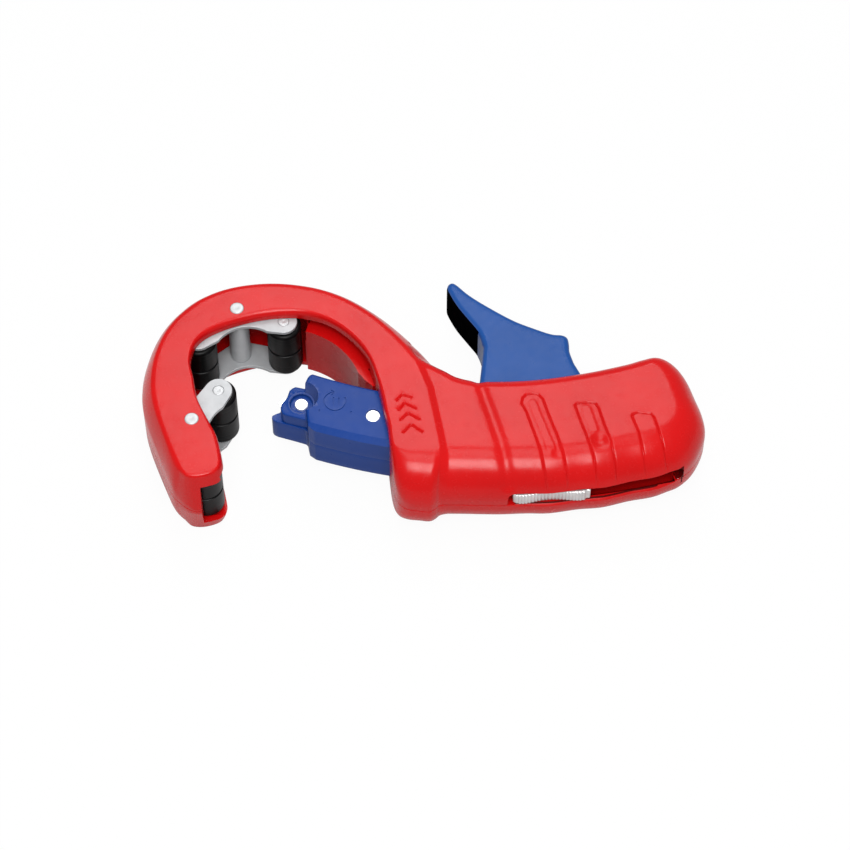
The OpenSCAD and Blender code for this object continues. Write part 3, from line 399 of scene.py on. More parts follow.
def insideOf(points, loop):
    # which points lie inside the loop, by the number of edges that a ray to the right crosses
    x, y = points[:, 0][:, None], points[:, 1][:, None]
    x0, y0 = loop[:, 0], loop[:, 1]
    x1, y1 = np.roll(x0, -1), np.roll(y0, -1)
    crosses = ((y0 > y) != (y1 > y)) & (x < (x1 - x0) * (y - y0) / np.where(y1 == y0, 1e-12, y1 - y0) + x0)
    return crosses.sum(1) % 2 == 1


def toLine(points, line):
    # least distance from each point to an open line
    line = np.asarray(line, float)
    best = np.full(len(points), np.inf)
    for p, q in zip(line[:-1], line[1:]):
        d = q - p
        t = np.clip(((points - p) @ d) / (d @ d), 0, 1)
        best = np.minimum(best, np.hypot(*(points - p - t[:, None] * d).T))
    return best


def toLines(points, lines):
    return np.min([toLine(points, line) for line in lines], 0)


def meshInside(loop, spots, gap=0.25, parts=24):
    # triangles that fill the loop, through the spots that lie inside it and farther from it than the gap
    spots = spots[insideOf(spots, loop)]
    nearest = [np.min(np.hypot(part[:, None, 0] - loop[:, 0], part[:, None, 1] - loop[:, 1]), 1)
               for part in np.array_split(spots, parts)]
    spots = spots[np.concatenate(nearest) > gap]
    i = np.arange(len(loop))
    made = delaunay_2d_cdt([Vector(p) for p in np.vstack([loop, spots])],
                           np.stack([i, np.roll(i, -1)], 1).tolist(), [], 1, 1e-7)
    first = [same[0] for same in made[3]]
    return spots, [[first[v] for v in face] for face in made[2]]


def gridSpots(x0, x1, y0, y1, step):
    # points of a triangular lattice
    x, y = np.meshgrid(np.arange(x0, x1, step), np.arange(y0, y1, step * 0.866), indexing="ij")
    x = x + (np.arange(x.shape[1]) % 2) * step / 2
    return np.stack([x.ravel(), y.ravel()], -1)


def ways(loop):
    # direction of a closed loop at each of its points, and the direction inwards
    way = np.roll(loop, -1, 0) - np.roll(loop, 1, 0)
    way /= np.maximum(np.hypot(*way.T), 1e-9)[:, None]
    return way, np.stack([-way[:, 1], way[:, 0]], -1)


def shrunk(loop, amount, step=0.1):
    # The loop moved inwards in small even steps. After each, its points slide along it towards the middle of
    # their neighbours, so that tight corners close up without crossing.
    steps = int(math.ceil(amount / step))
    for _ in range(steps):
        way, inward = ways(loop)
        loop = loop + inward * amount / steps
        for _ in range(2):
            pull = (np.roll(loop, -1, 0) + np.roll(loop, 1, 0)) / 2 - loop
            loop = loop + 0.5 * np.sum(pull * way, 1)[:, None] * way
    return loop


def roundedSlab(name, outline, low, high, rims, spacing, rings=6):
    # A flat shape with rounded rims, one radius for the lower and one for the upper face: near each face the
    # outline moves inwards by a quarter circle, and the faces are filled through a loose net of points.
    outline = counterclockwise(outline)
    n = len(outline)
    t = np.linspace(0, np.pi / 2, rings)
    edges, fills = [], []
    for r in rims:
        loops = [outline]
        for more in np.diff(r * (1 - np.cos(t))):
            loops.append(shrunk(loops[-1], more))
        edges.append(list(zip(loops, r * (1 - np.sin(t)))))
        (x0, y0), (x1, y1) = loops[-1].min(0), loops[-1].max(0)
        fills.append(meshInside(loops[-1], gridSpots(x0, x1, y0, y1, spacing)))
    stack = [raised(loop, low + drop) for loop, drop in edges[0][::-1]]
    stack += [raised(outline, z) for z in np.linspace(low + rims[0], high - rims[1], 5)[1:-1]]
    stack += [raised(loop, high - drop) for loop, drop in edges[1]]
    (under, underFaces), (over, overFaces) = fills
    top = (len(stack) - 1) * n
    pastOver = top + len(over)
    faces = ringQuads(len(stack), n).tolist() + [[top + v for v in f] for f in overFaces]
    faces += [[v if v < n else pastOver + v for v in f][::-1] for f in underFaces]
    return rawObject(name, np.vstack(stack + [raised(over, high), raised(under, low)]), faces)


def resampled(line, count):
    # the open line again, with count points at an even spacing
    length = np.concatenate([[0], np.cumsum(np.hypot(*np.diff(line, axis=0).T))])
    at = np.linspace(0, length[-1], count)
    return np.stack([np.interp(at, length, line[:, j]) for j in (0, 1)], -1)


def evenly(outline, spacing):
    # the closed outline again, with points at an even spacing
    closed = np.vstack([outline, outline[:1]])
    return resampled(closed, int(np.hypot(*np.diff(closed, axis=0).T).sum() / spacing) + 1)[:-1]


# Stations of the body's outline: round the hook to its tip, back along the lip to the foot, then along the near
# side of the grip, round its end and back along the far side. Hook and lip hold an angle and the shares of their
# radius at the widest line and at the flat side. Tip and foot hold x and y at both, as shares of the outer
# radius, and the height of the edge; the tip its slope too. The sides of the grip hold shares of its length and of
# its half width, and its end holds them at both, and the height of the edge.
hookEdge = [
    (12, 1.105, 0.93), (21, 1.035, 0.865), (33, 0.973, 0.825), (45, 0.938, 0.803), (59, 0.922, 0.788),
    (72, 0.914, 0.785), (85, 0.916, 0.787), (97, 0.93, 0.803), (108, 0.95, 0.826), (117, 0.973, 0.85),
    (125, 0.995, 0.868), (134, 1.012, 0.886), (145, 1.016, 0.9), (155, 1.014, 0.904), (166, 1.005, 0.9),
    (176, 1.003, 0.892), (186, 1.0, 0.888), (196, 0.99, 0.886), (209, 0.998, 0.903)]
tipEdge = [
    (-0.78, -0.712, -0.7, -0.665, 0.6, 0.2), (-0.72, -0.79, -0.672, -0.73, 0.8, 0.6),
    (-0.65, -0.848, -0.643, -0.762, 0.88, 1), (-0.578, -0.872, -0.575, -0.765, 0.92, 1),
    (-0.485, -0.85, -0.505, -0.75, 0.88, 1), (-0.42, -0.79, -0.455, -0.727, 0.6, 0.6),
    (-0.395, -0.71, -0.432, -0.69, 0.4, 0.2), (-0.402, -0.628, -0.438, -0.625, 0.2, 0)]
lipEdge = [
    (225, 1.07, 1.13), (212, 1.015, 1.06), (193, 1.03, 1.065), (176, 1.07, 1.105), (165, 1.15, 1.185),
    (154, 1.19, 1.23), (145, 1.168, 1.22), (133, 1.09, 1.155), (118, 1.017, 1.09), (103, 0.985, 1.065),
    (88, 0.985, 1.06), (74, 1.01, 1.067), (60, 1.033, 1.075), (45, 1.045, 1.085), (30, 1.067, 1.107),
    (17, 1.095, 1.135), (3, 1.135, 1.175), (-8, 1.2, 1.25), (-17, 1.285, 1.335), (-25, 1.405, 1.46),
    (-32.5, 1.54, 1.605)]
footEdge = [
    (0.78, -0.615, 0.825, -0.545, 0.3), (0.8, -0.73, 0.87, -0.56, 0.5), (0.835, -0.808, 0.915, -0.568, 0.7),
    (0.895, -0.85, 0.965, -0.572, 0.85)]
nearEdge = [
    (0.355, 1.17), (0.38, 1.165), (0.392, 1.11), (0.402, 1.045), (0.435, 1.02), (0.52, 1.007),
    (0.58, 0.997), (0.63, 1.012), (0.69, 0.987), (0.743, 1.0), (0.8, 0.968), (0.85, 0.974), (0.885, 0.942)]
endEdge = [
    (0.912, 0.905, 0.897, 0.335, 0.85), (0.945, 0.79, 0.907, 0.31, 0.83), (0.975, 0.6, 0.922, 0.23, 0.8),
    (0.993, 0.42, 0.93, 0.14, 0.78), (1, 0.2, 0.934, 0.03, 0.75), (1, -0.05, 0.935, -0.1, 0.7),
    (0.998, -0.32, 0.935, -0.27, 0.6), (0.988, -0.54, 0.933, -0.42, 0.5), (0.968, -0.705, 0.927, -0.545, 0.4),
    (0.94, -0.79, 0.915, -0.615, 0.32)]
farEdge = [
    (0.9, 1.07), (0.85, 1.045), (0.74, 1.01), (0.62, 0.965), (0.52, 0.945), (0.455, 0.95), (0.415, 1.0),
    (0.385, 1.1)]
shellLook = {
    "rings": 30, "hookSlope": 0.62, "slopeCurve": (0.7, 0.704, 0.76, 0.936), "nearHeight": 0.88, "farHeight": 0.3,
    "partingChamfer": 0.25, "collarBand": 3.2, "creaseDepth": 0.6, "creaseWidth": 2.1,
    "lineDepth": 0.42, "lineWidth": 0.28, "arrowDepth": 0.5, "arrowWidth": 0.31, "stripHeight": 0.16,
    "stripEdge": 0.35, "dimples": [(113.0, 11.3, 3.6, 3.4, 0.95), (98.6, 14.5, 2.6, 1.8, 0.3)],
    "marksFrom": 66, "arrowBox": ((38, -25), (53, -3)), "marksFade": (7.0, 9.0),
    "columnGap": {"hook": 0.9, "tip": 0.5, "lip": 0.8, "foot": 0.5, "near": 0.45, "slot": 0.3, "end": 0.6,
                  "far": 0.9, "plain": 0.8},
    "slotStations": (0.5, 0.9),
}
# nets of points on the flat side, as windows in x and y and a spacing, and how far a finer net reaches beyond
# the line, the collar's band, the crease and a strip, and to what share of a dimple
nets = {"whole": (-52, 152, -45, 48, 2.4), "lines": (38, 142, -34, 12, 0.24), "marks": (38, 142, -34, 20, 0.6),
        "plainCollar": (38, 70, -40, 26, 0.9), "reach": (0.75, 0.6, 2.8, 0.7, 1.3)}


def shellRows():
    # one row for each station of the outline: x and y of the widest line, x and y at the flat side, height of
    # the rounded edge, share of straight slope in it, and the spacing of the columns beside it
    k, outer, lip, half = shellLook, hook["outer"], hook["lip"], hook["half"]
    gap = k["columnGap"]
    slotFrom, slotTo = k["slotStations"]
    rows = [[*polar(outer * r, a), *polar(outer * rt, a), hook["bevel"], k["hookSlope"], gap["hook"]]
            for a, r, rt in hookEdge]
    rows += [[*(outer * np.array(at)), half * h, slope, gap["tip"]] for *at, h, slope in tipEdge]
    rows += [[*polar(lip * r, a), *polar(lip * rt, a), hook["lipEdge"], 0, gap["lip"]] for a, r, rt in lipEdge]
    rows += [[*(outer * np.array(at)), half * h, 0, gap["foot"]] for *at, h in footEdge]
    for share, off in nearEdge:
        s, off = grip["end"] * share, grip["near"] * off
        rows.append([*onFeed(s, off), *onFeed(s, off - grip["nearRound"]), half * k["nearHeight"], 0,
                     gap["slot"] if slotFrom < share < slotTo else gap["near"]])
    for s, off, st, offt, h in endEdge:
        rows.append([*onFeed(grip["end"] * s, grip["near"] * off), *onFeed(grip["end"] * st, grip["near"] * offt),
                     half * h, 0, gap["end"]])
    for s, off in farEdge:
        s, off = grip["end"] * s, -grip["far"] * off
        rows.append([*onFeed(s, off), *onFeed(s, off + grip["farEdge"]), half * k["farHeight"], 0, gap["far"]])
    return np.array(rows)


collarLine = onFeed(grip["end"] * np.array([0.27, 0.29, 0.31, 0.342, 0.362, 0.382, 0.395, 0.402, 0.402]),
                    grip["near"] * np.array([-1.15, -0.9, -0.74, -0.41, -0.055, 0.335, 0.65, 1.04, 1.4]))
arrowLines = [
    np.array([(41.0, -8.29), (42.83, -5.94), (46.17, -7.03)]),
    np.array([(41.8, -12.32), (43.66, -9.43), (47.64, -11.65)]),
    np.array([(42.31, -16.5), (44.95, -13.7), (49.06, -16.25)]),
    np.array([(43.32, -21.7), (46.09, -18.46), (50.01, -21.45)])]
# lines pressed into the grip, as distances along and beyond the feed arc
barLines = [
    [(94.6, 26), (92.8, 12.7), (91.1, 5), (89.1, -2.9), (87.5, -6.5), (88.1, -8.9), (89.5, -10.1), (91.7, -10.5),
     (94, -9.9), (95.5, -7.9), (96.7, -2.2), (99, 7.3), (100.6, 16.9), (101.4, 26)],
    [(110.6, 26), (110.1, 16.4), (109.4, 11.5), (108.1, 4.1), (106.8, -4.2), (107.7, -4.9), (111.2, -5),
     (114.4, -4), (115.2, -1.4), (115.6, 4.1), (116.7, 12.7), (116.9, 26)],
    [(126.3, 26), (126.4, 17.8), (126.5, 10.5), (125.9, 3.7), (126.4, 2.9), (128.2, 2.7), (132.5, 4.1),
     (133.2, 6.1), (133.3, 11.7), (133.6, 26)]]
insetStrips = [
    ([(91.6, -6.4), (94.4, 4.5), (96.4, 12.5)], 1.7),
    ([(110.6, -2.2), (111.6, 6.4)], 1.9)]
creaseLine = [(70.4, -19.5), (72.2, -14.7), (76.6, -1.8), (79.7, 8.5), (81.8, 19.5), (82.6, 27)]


def bell(d, width):
    # a bell curve: e to the power of minus the square of d over the width
    return np.exp(-(d / width) ** 2)


def ovalShare(place, oval):
    # 0 in the middle of an oval along the feed arc, 1 on its rim
    s, off, along, across = oval
    return ((place[:, 0] - s) / along) ** 2 + ((place[:, 1] - off) / across) ** 2


def shellHeight(xy):
    # height of the flat side: the collar's height, less a smooth step beyond the collar's line
    place, line = feedPlace(xy), feedPlace(collarLine)
    beyond = place[:, 0] > np.interp(place[:, 1], line[:, 1], line[:, 0])
    t = np.clip(np.where(beyond, toLine(xy, collarLine), 0) / shellLook["collarBand"], 0, 1)
    return hook["half"] - grip["collarStep"] * t * t * (3 - 2 * t)


def shellMarks(xy):
    # Depth of the marks below the surface: a bell across each pressed line, arrow and the crease, a thin raised
    # strip, and a round hollow for each thumb dimple.
    k = shellLook
    place = feedPlace(xy)
    depth = np.zeros(len(xy))
    onGrip = place[:, 0] > k["marksFrom"]
    place = place[onGrip]
    d = k["lineDepth"] * bell(toLines(place, barLines), k["lineWidth"])
    d += k["creaseDepth"] * bell(toLine(place, creaseLine), k["creaseWidth"])
    for line, width in insetStrips:
        d -= k["stripHeight"] * np.clip((width - toLine(place, line)) / k["stripEdge"], 0, 1)
    for *oval, deep in k["dimples"]:
        d += deep * np.clip(1 - ovalShare(place, oval), 0, 1) ** 1.5
    depth[onGrip] = d
    low, high = k["arrowBox"]
    onCollar = np.all((xy > low) & (xy < high), 1)
    depth[onCollar] = k["arrowDepth"] * bell(toLines(xy[onCollar], arrowLines), k["arrowWidth"])
    return depth


def flatSpots(marked):
    # points on the flat side: a loose net, finer beside the marks and along the collar's step
    byLine, byBand, byCrease, byStrip, byDimple = nets["reach"]
    whole, soft = gridSpots(*nets["whole"]), gridSpots(*nets["marks" if marked else "plainCollar"])
    close = toLine(soft, collarLine) < shellLook["collarBand"] + byBand
    if not marked:
        return np.vstack([whole, soft[close]])
    fine, place = gridSpots(*nets["lines"]), feedPlace(soft)
    near = np.minimum(toLines(fine, arrowLines), toLines(feedPlace(fine), barLines))
    close |= toLine(place, creaseLine) < byCrease
    for line, width in insetStrips:
        close |= toLine(place, line) < width + byStrip
    for *oval, _ in shellLook["dimples"]:
        close |= ovalShare(place, oval) < byDimple
    return np.vstack([whole, fine[near < byLine], soft[close]])


def shellSkin(marked):
    # Closed upper half of the body. Each ring is the outline moved from its widest line to the flat side by an
    # elliptical or straight share, and the flat side is filled with a net that is fine where it carries marks.
    k, rows = shellLook, shellRows()
    gaps = rows[:, 6] if marked else np.maximum(rows[:, 6], k["columnGap"]["plain"])
    curve = smoothRows(rows[:, :6], gaps)
    n = len(curve)
    out, top, high, slope = curve[:, :2], curve[:, 2:4], np.maximum(curve[:, 4], 0), np.clip(curve[:, 5], 0, 1)
    u = np.linspace(0, 1, k["rings"])[:, None]
    until, reach, knee, fall = k["slopeCurve"]
    v = np.clip((u - until) / (1 - until), 0, 1)
    straight = u < until
    flatIn = np.where(straight, reach * u / until, (1 - v) ** 2 * reach + 2 * v * (1 - v) * knee + v * v)
    flatDrop = np.where(straight, 1 - fall * u / until, (1 - v) ** 2 * (1 - fall))
    inset = (1 - np.cos(u * np.pi / 2)) * (1 - slope) + flatIn * slope
    drop = (1 - np.sin(u * np.pi / 2)) * (1 - slope) + flatDrop * slope
    xy = out + inset[..., None] * (top - out)
    rings = np.concatenate([xy, (hook["half"] - high * drop)[..., None]], -1)
    chamfer = k["partingChamfer"]
    foot = [raised(out + ways(out)[1] * chamfer, 0.0), raised(out, chamfer)]
    scale = shellHeight(rings[..., :2].reshape(-1, 2)).reshape(rings.shape[:2]) / hook["half"]
    rings[..., 2] = chamfer + (rings[..., 2] - chamfer) * scale
    if marked:
        normal = np.cross(np.roll(rings, -1, 1) - np.roll(rings, 1, 1), np.gradient(rings, axis=0))
        normal /= np.maximum(np.linalg.norm(normal, axis=-1, keepdims=True), 1e-9)
        normal[-1] = (0, 0, 1)
        depth = shellMarks(rings[..., :2].reshape(-1, 2)).reshape(rings.shape[:2])
        fadeFrom, fadeTo = k["marksFade"]
        fade = np.clip((rings[..., 2] - fadeFrom) / (fadeTo - fadeFrom), 0, 1)
        rings = rings - normal * (depth * fade)[..., None]
    inner, capFaces = meshInside(rings[-1, :, :2], flatSpots(marked))
    capZ = shellHeight(inner) - (shellMarks(inner) if marked else 0)
    count = len(foot) + len(rings)
    base = (count - 1) * n
    faces = ringQuads(count, n).tolist() + [list(range(n - 1, -1, -1))] + [[base + v for v in f] for f in capFaces]
    return withinCad(np.vstack([*foot, rings.reshape(-1, 3), np.c_[inner, capZ]])), faces


# Hollows, ribs and openings that follow the feed arc: from and to along it, from and to beyond it, and their
# heights in the upper half. The rings follow the pipe's axis: two angles, two radii and two heights.
hollowBars = [(47, 138.6, -16, 21.4, -1, 7.952), (47, 138.6, -16, 15.4, -1.2, 14.2),
              (137, 141, -16, 12.5, -1.3, 14.1), (140, 147, -11, 7.13, -1.4, 14.0)]
ribBars = [(45, 69, -13.25, -11.25, -2, 15.2), (45, 80.6, 11.25, 13.25, -2, 15.2),
           (46, 69, -8.72, -6.72, 11.35, 15.2), (46, 107.2, -1, 1, 11.35, 15.2),
           (46, 107.2, 7.9, 9.9, 11.35, 15.2)]
openingBars = [(28, 48, -11.35, 11.35, -1, 11.45), (69.4, 118.4, -28.5, -15, -1, 9.35)]
neckRing, neckRib = (20, 75, 32, 42.93, -1.6, 14.1), (18, 73, 37, 39, 8.35, 15.2)
wallGroove, wallLedge = (16, 77, 26.68, 33, -1, 13.9), (20.5, 74, 30.5, 36.65, 6, 8.02)
slotFloor = (83.8, 136.4, 12.7, 23.44, -3, 1)
insideLook = {
    "wall": 3.6, "rockerTurn": (76, 237), "rockerInner": 0.6, "rockerHeights": (-1, 14.2),
    "backTurn": 209, "backReach": 1.045, "tipTurn": 232, "tipReach": 0.965,
    "leverPost": 4.6, "leverPostHeights": (9.35, 15.2), "screwPost": 3.4, "screwPostHeights": (-2.2, 15.2),
    "sideOpening": (-27.89, -2.76, -50.26, -25.13), "sideHeights": (-1, 12.175),
    "rollerRoom": 5.25, "rollerRoomHeights": (-1, 14.05), "rollerRound": 7.2, "rollerRoundHeights": (-1, 12.075),
    "pinBore": 2.52, "leverBoreHeights": (-1, 14.8), "rivetBoreHeights": (-1, 20),
    "screwBores": {1: [(1.47, -1, 10)], -1: [(1.5, -19, 1), (2.75, -19, -10.2)]},
    "innerWallHeights": (-17, 8), "innerWallThick": 3.8, "innerWallTurn": (7, 75),
    "innerWallRadii": ([7, 13, 20.5, 74], [32.4, 30.0, 28.6, 28.6]), "lipAlong": (84.5, 136.5),
    "lipSection": [(-1.5, 0.4), (0.8, 0.4), (0.8, -1.5), (0.1, -1.0), (-0.7, -0.3), (-1.3, -0.02)]}
# the slot: its rings across the near wall lie at these distances beyond its face and are this much wider; dark and
# darkRim bound the walls inside it that are painted in shade
slotLook = {"along": (82.6, 139.2), "low": -1.0, "high": 6.4, "round": 2.4, "inner": 12.7,
            "rim": [(-1.0, 0.0), (-0.35, 0.3), (0.8, 1.5)], "dark": (82, 139.5, -3.1, 6.6, 11), "darkRim": 0.9}


def bars(table, side=1, shape=feedShape):
    # a solid for each row of such a table
    return [upright(shape(*row[:4]), row[4:], side) for row in table]


def shellRoom(side):
    # hollow of a shell, less the ribs that stand in it, and the openings in its skin
    k = insideLook
    a = np.arange(*k["rockerTurn"], 4.0)
    stations = np.array(hookEdge)
    reach = np.interp(a, stations[:, 0], stations[:, 1])
    reach = np.where(a > k["tipTurn"], k["tipReach"], np.where(a > k["backTurn"], k["backReach"], reach))
    rockers = np.vstack([polar(hook["outer"] * reach - k["wall"], a),
                         polar(hook["lip"] * k["rockerInner"], a[::-1])])
    ribs = bars(ribBars, side) + [upright(discShape(leverPin, k["leverPost"]), k["leverPostHeights"], side)]
    ribs += [upright(discShape(p, k["screwPost"]), k["screwPostHeights"], side) for p in screwPlaces]
    if side > 0:
        ribs += bars([neckRib], shape=ringShape)
    hollow = shaped(upright(rockers, k["rockerHeights"], side),
                    plus(*bars(hollowBars, side), *bars([neckRing], side, ringShape)) + less(*ribs))
    (x, y), room = rollerPlaces[3], k["rollerRoom"]
    openings = [
        upright(boxShape(*k["sideOpening"]), k["sideHeights"], side),
        upright(boxShape(x - room, x + 2 * room, y - room, y + room), k["rollerRoomHeights"], side),
        upright(discShape((x, y), k["rollerRound"]), k["rollerRoundHeights"], side), *bars(openingBars, side),
        upright(discShape(leverPin, k["pinBore"]), k["leverBoreHeights"], side)]
    openings += [upright(discShape(polar(*at), k["pinBore"]), k["rivetBoreHeights"], side)
                 for at in rivetPlaces.values()]
    return hollow, openings


def nearSide(s):
    # distance of the near side beyond the arc
    table = np.array(nearEdge)
    return grip["near"] * np.interp(s / grip["end"], table[:, 0], table[:, 1])


def sweptBar(name, s0, s1, section, step=1.5, base=None):
    # a section of (distance beyond the arc, height) carried along the arc, measured from the base line if given
    s = np.linspace(s0, s1, int((s1 - s0) / step) + 2)
    section = np.asarray(section, float)
    start = base(s) if base else np.zeros(len(s))
    xy = onFeed(s[:, None], start[:, None] + section[None, :, 0])
    z = np.broadcast_to(section[:, 1], xy.shape[:2])
    return tube(name, np.concatenate([xy, z[..., None]], -1))


def innerWall():
    # wall beside the carriage's way: round the pipe's axis, and at its lower end out to the lip
    a = np.arange(*insideLook["innerWallTurn"], 1.5)
    near = np.interp(a, *insideLook["innerWallRadii"])
    return np.vstack([polar(near + insideLook["innerWallThick"], a), polar(near, a)[::-1]])


def slotTool():
    # The slot's outline in distance along the arc and height, with round corners, carried across the near wall;
    # its rim widens over the last millimetre.
    k = slotLook
    (s0, s1), low, high, r = k["along"], k["low"], k["high"], k["round"]
    over = np.linspace(s1 - r - 1.5, s0 + r + 1.5, 30)
    under = np.linspace(s0, s1 - r, 34)
    outline = np.vstack([arcPoints(s1 - r, r, r, -90, 0, 9), arcPoints(s1 - r, high - r, r, 0, 90, 9),
                         np.c_[over, np.full(30, high)], arcPoints(s0 + r, high - r, r, 90, 180, 9),
                         np.c_[under, np.full(34, low)]])
    away = np.clip((outline - ((s0 + s1) / 2, high / 2)) / (np.array([s1 - s0, high]) / 2 - r), -1, 1)
    face = nearSide(outline[:, 0])
    rings = [np.c_[onFeed(outline[:, 0], k["inner"]), outline[:, 1]]]
    for off, wider in k["rim"]:
        wide = outline + wider * away
        rings.append(np.c_[onFeed(wide[:, 0], face + off), wide[:, 1]])
    return tube("slotTool", rings)


def paintSlotShade(shell):
    # painted shade: the walls inside the thumb slot take a near-black red that stands in for the shade there
    mesh = shell.data
    mesh.materials.append(finishes["slotRed"])
    middles = np.empty(len(mesh.polygons) * 3)
    mesh.polygons.foreach_get("center", middles)
    x, y, z = middles.reshape(-1, 3).T / mm
    s, off = feedPlace(np.stack([x, y], -1)).T
    s0, s1, low, high, inner = slotLook["dark"]
    inSlot = (s > s0) & (s < s1) & (z > low) & (z < high)
    inSlot &= (off > inner) & (off < nearSide(s) - slotLook["darkRim"])
    mesh.polygons.foreach_set("material_index", inSlot.astype(np.int32))


def buildShell(side):
    # side 1 is the upper half and -1 the lower, which is turned over and has no marks
    name, node = ("upperShell", "upper_shell") if side > 0 else ("lowerShell", "lower_shell")
    points, faces = shellSkin(side > 0)
    shell = rawObject(name, points * (1, 1, side), [f[::side] for f in faces])
    hollow, openings = shellRoom(side)
    steps = less(hollow, *openings)
    if side > 0:
        steps += less(*bars([wallGroove], shape=ringShape), slotTool())
    else:
        k = insideLook
        steps += plus(upright(innerWall(), k["innerWallHeights"]), *bars([wallLedge], shape=ringShape))
        steps += less(*bars([slotFloor]), sweptBar("lipTool", *k["lipAlong"], k["lipSection"], base=nearSide))
    for r, *heights in insideLook["screwBores"][side]:
        steps += less(*(upright(discShape(p, r), heights) for p in screwPlaces))
    shaped(shell, steps)
    dress(shell, "shellRed", "body", node, 34)
    paintSlotShade(shell)
    print(name, len(shell.data.vertices), "points")


buildShell(1)
buildShell(-1)
print("shells made")


rollerLook = {"radius": 6.3, "half": 12.0, "edge": 1.2, "grooveWidth": 1.4, "grooveDepth": 0.6, "bore": 2.05,
              "hub": 3.4, "hubDepth": 0.3, "hubEdge": [(0.5, 0), (0.3, -0.25)], "boreEdge": 0.3,
              "toolLines": [(7.6, 0.16), (9.9, 0.12)], "toolDepth": 0.03}
pinLook = {"rollerPin": 2.0, "rivet": 2.5, "chamfer": 0.35, "rivetChamfer": 0.5, "plateTop": 13.85,
           "hookTop": 18.0, "dome": 0.28, "dimple": 0.14, "bushHalf": 12.35,
           "bushEnd": [(2.55, -0.3), (2.8, 0.0), (3.5, 0.0), (3.8, -0.3)]}


def buildRollers():
    # Turned roller: a straight side with rounded ends, a round-bottomed groove and two faint tool lines.
    k = rollerLook
    r, h, e, hub, deep = k["radius"], k["half"], k["edge"], k["hub"], k["hubDepth"]
    y = np.linspace(-h + e, h - e, 241)
    groove = k["grooveDepth"] * np.clip(1 - (2 * y / k["grooveWidth"]) ** 2, 0, 1) ** 0.6
    faint = k["toolDepth"] * sum(bell(np.abs(y) - at, width) for at, width in k["toolLines"])
    side = np.stack([r - groove - faint, y], -1)
    low = arcPoints(r - e, -h + e, e, -90, 0)[:-1]
    high = arcPoints(r - e, h - e, e, 0, 90)[1:]
    face = np.vstack([np.array(k["hubEdge"]) + (hub, h), (hub, h - deep), (k["bore"] + k["boreEdge"], h - deep)])
    bore = np.array([(k["bore"], end * (h - deep - k["boreEdge"])) for end in (1, -1)])
    profile = np.vstack([bore[1:], (face * (1, -1))[::-1], low, side, high, face, bore])
    for i, at in enumerate(rollerPlaces, 1):
        roller = lathe(f"roller{i}", profile, at, 96)
        dress(roller, "rollerBlack", f"roller_{i}", f"roller_{i}", 30)


def pinProfile(r, top, chamfer, dimple):
    # half of a pin's outline from its axis outwards, mirrored below: a dimple, a flat ring and a round edge
    edge = arcPoints(r - chamfer, top - chamfer, chamfer, 90, 0)
    middle = [(0.02, top - dimple), (r * 0.18, top - dimple * 0.8), (r * 0.32, top - 0.02), (r * 0.4, top)]
    upper = np.vstack([middle, edge])
    return np.vstack([upper * (1, -1), upper[::-1]])


def buildPins():
    # pins, rivets and bushes are turned from their profiles, and the carriers' plates are softened CAD pieces
    k = pinLook
    profile = pinProfile(k["rollerPin"], k["plateTop"], k["chamfer"], k["dimple"])
    for i, at in enumerate(rollerPlaces, 1):
        pin = lathe(f"rollerPin{i}", profile, at, 48)
        dress(pin, "rivetSteel", "rocker_a" if i < 3 else "rocker_b", f"roller_pin_{i}", 30)
    rivetShape = pinProfile(k["rivet"], k["hookTop"] + k["dome"], k["rivetChamfer"], k["dimple"])
    rivetShape[:, 1] += np.where(rivetShape[:, 1] < 0, k["dome"] + 0.01, 0)    # its lower end lies flush
    end = np.array(k["bushEnd"]) + (0, k["bushHalf"])
    tubeShape = np.vstack([end * (1, -1), end[::-1], end[:1] * (1, -1)])
    for key, place in rivetPlaces.items():
        at, carrier = polar(*place), f"rocker_{key}"
        dress(lathe(f"hookRivet_{key}", rivetShape, at, 64), "rivetSteel", "body", f"hook_rivet_{key}",
              30)
        dress(lathe(f"bush_{key}", tubeShape, at, 64), "rivetSteel", carrier, f"{carrier}_bush", 30)
        for level in ("upper", "lower"):
            softened(f"{carrier}_{level}_plate", f"plate_{key}_{level}", "plateSteel", carrier,
                     0.22, 3)


buildRollers()
buildPins()
print("rollers and carriers made")


sliderLook = {"start": 83.8, "length": 24.6, "dip": 2.0, "ribs": 23, "ribHeight": 0.3, "low": 0.5, "high": 5.9,
              "inner": 19.4, "outer": 26.1, "edge": 0.7, "crown": 0.12, "stem": (89.1, 103.1, 7.02),
              "screwsApart": 8.0, "screwBore": (1.22, 13.8), "lean": 0.3, "endFall": 1.6,
              "ribsBetween": (0.02, 0.96), "backDip": (0.5, 0.955), "backRise": (0.15, 0.985), "fade": 0.02}
carriageLook = {
    "half": 10.9, "top": 11.0, "tail": 110.9, "noseBack": 40.4, "tailTop": -2.0, "rim": 1.0, "step": 6.0,
    "nearBevel": (2.2, 1.6), "boss": 5.3, "bowl": (4.6, 6.3), "bore": (4.1, 1.6), "screwRadius": 2.4,
    "pinRadius": 2.6, "noseFront": 10.0, "corners": ((0.4, 0.8), 0.6, (0.8, 0.6)), "frontGap": 0.7,
    "seamEdge": 0.12, "markLine": 0.24, "markDepth": 0.3, "spacing": 0.45, "net": 2.2, "play": 0.02, "seam": 0.03,
    "axis": 0.01, "over": 0.02, "past": 0.6, "clear": 1.2, "boreEdge": 0.3, "bossEdge": (0.15, 0.5),
    "stepRims": (0.1, 0.6), "stepNet": 2.0, "screwEnds": (-10.4, 5.4), "pinEnds": (-10.6, 10.6), "dimple": 0.07,
    "rackGroove": (61.7, 111.9, -3.2, 1.25, -1.2, 4.05), "sliderBores": [(1.24, 9.3), (2.6, 3.4)]}
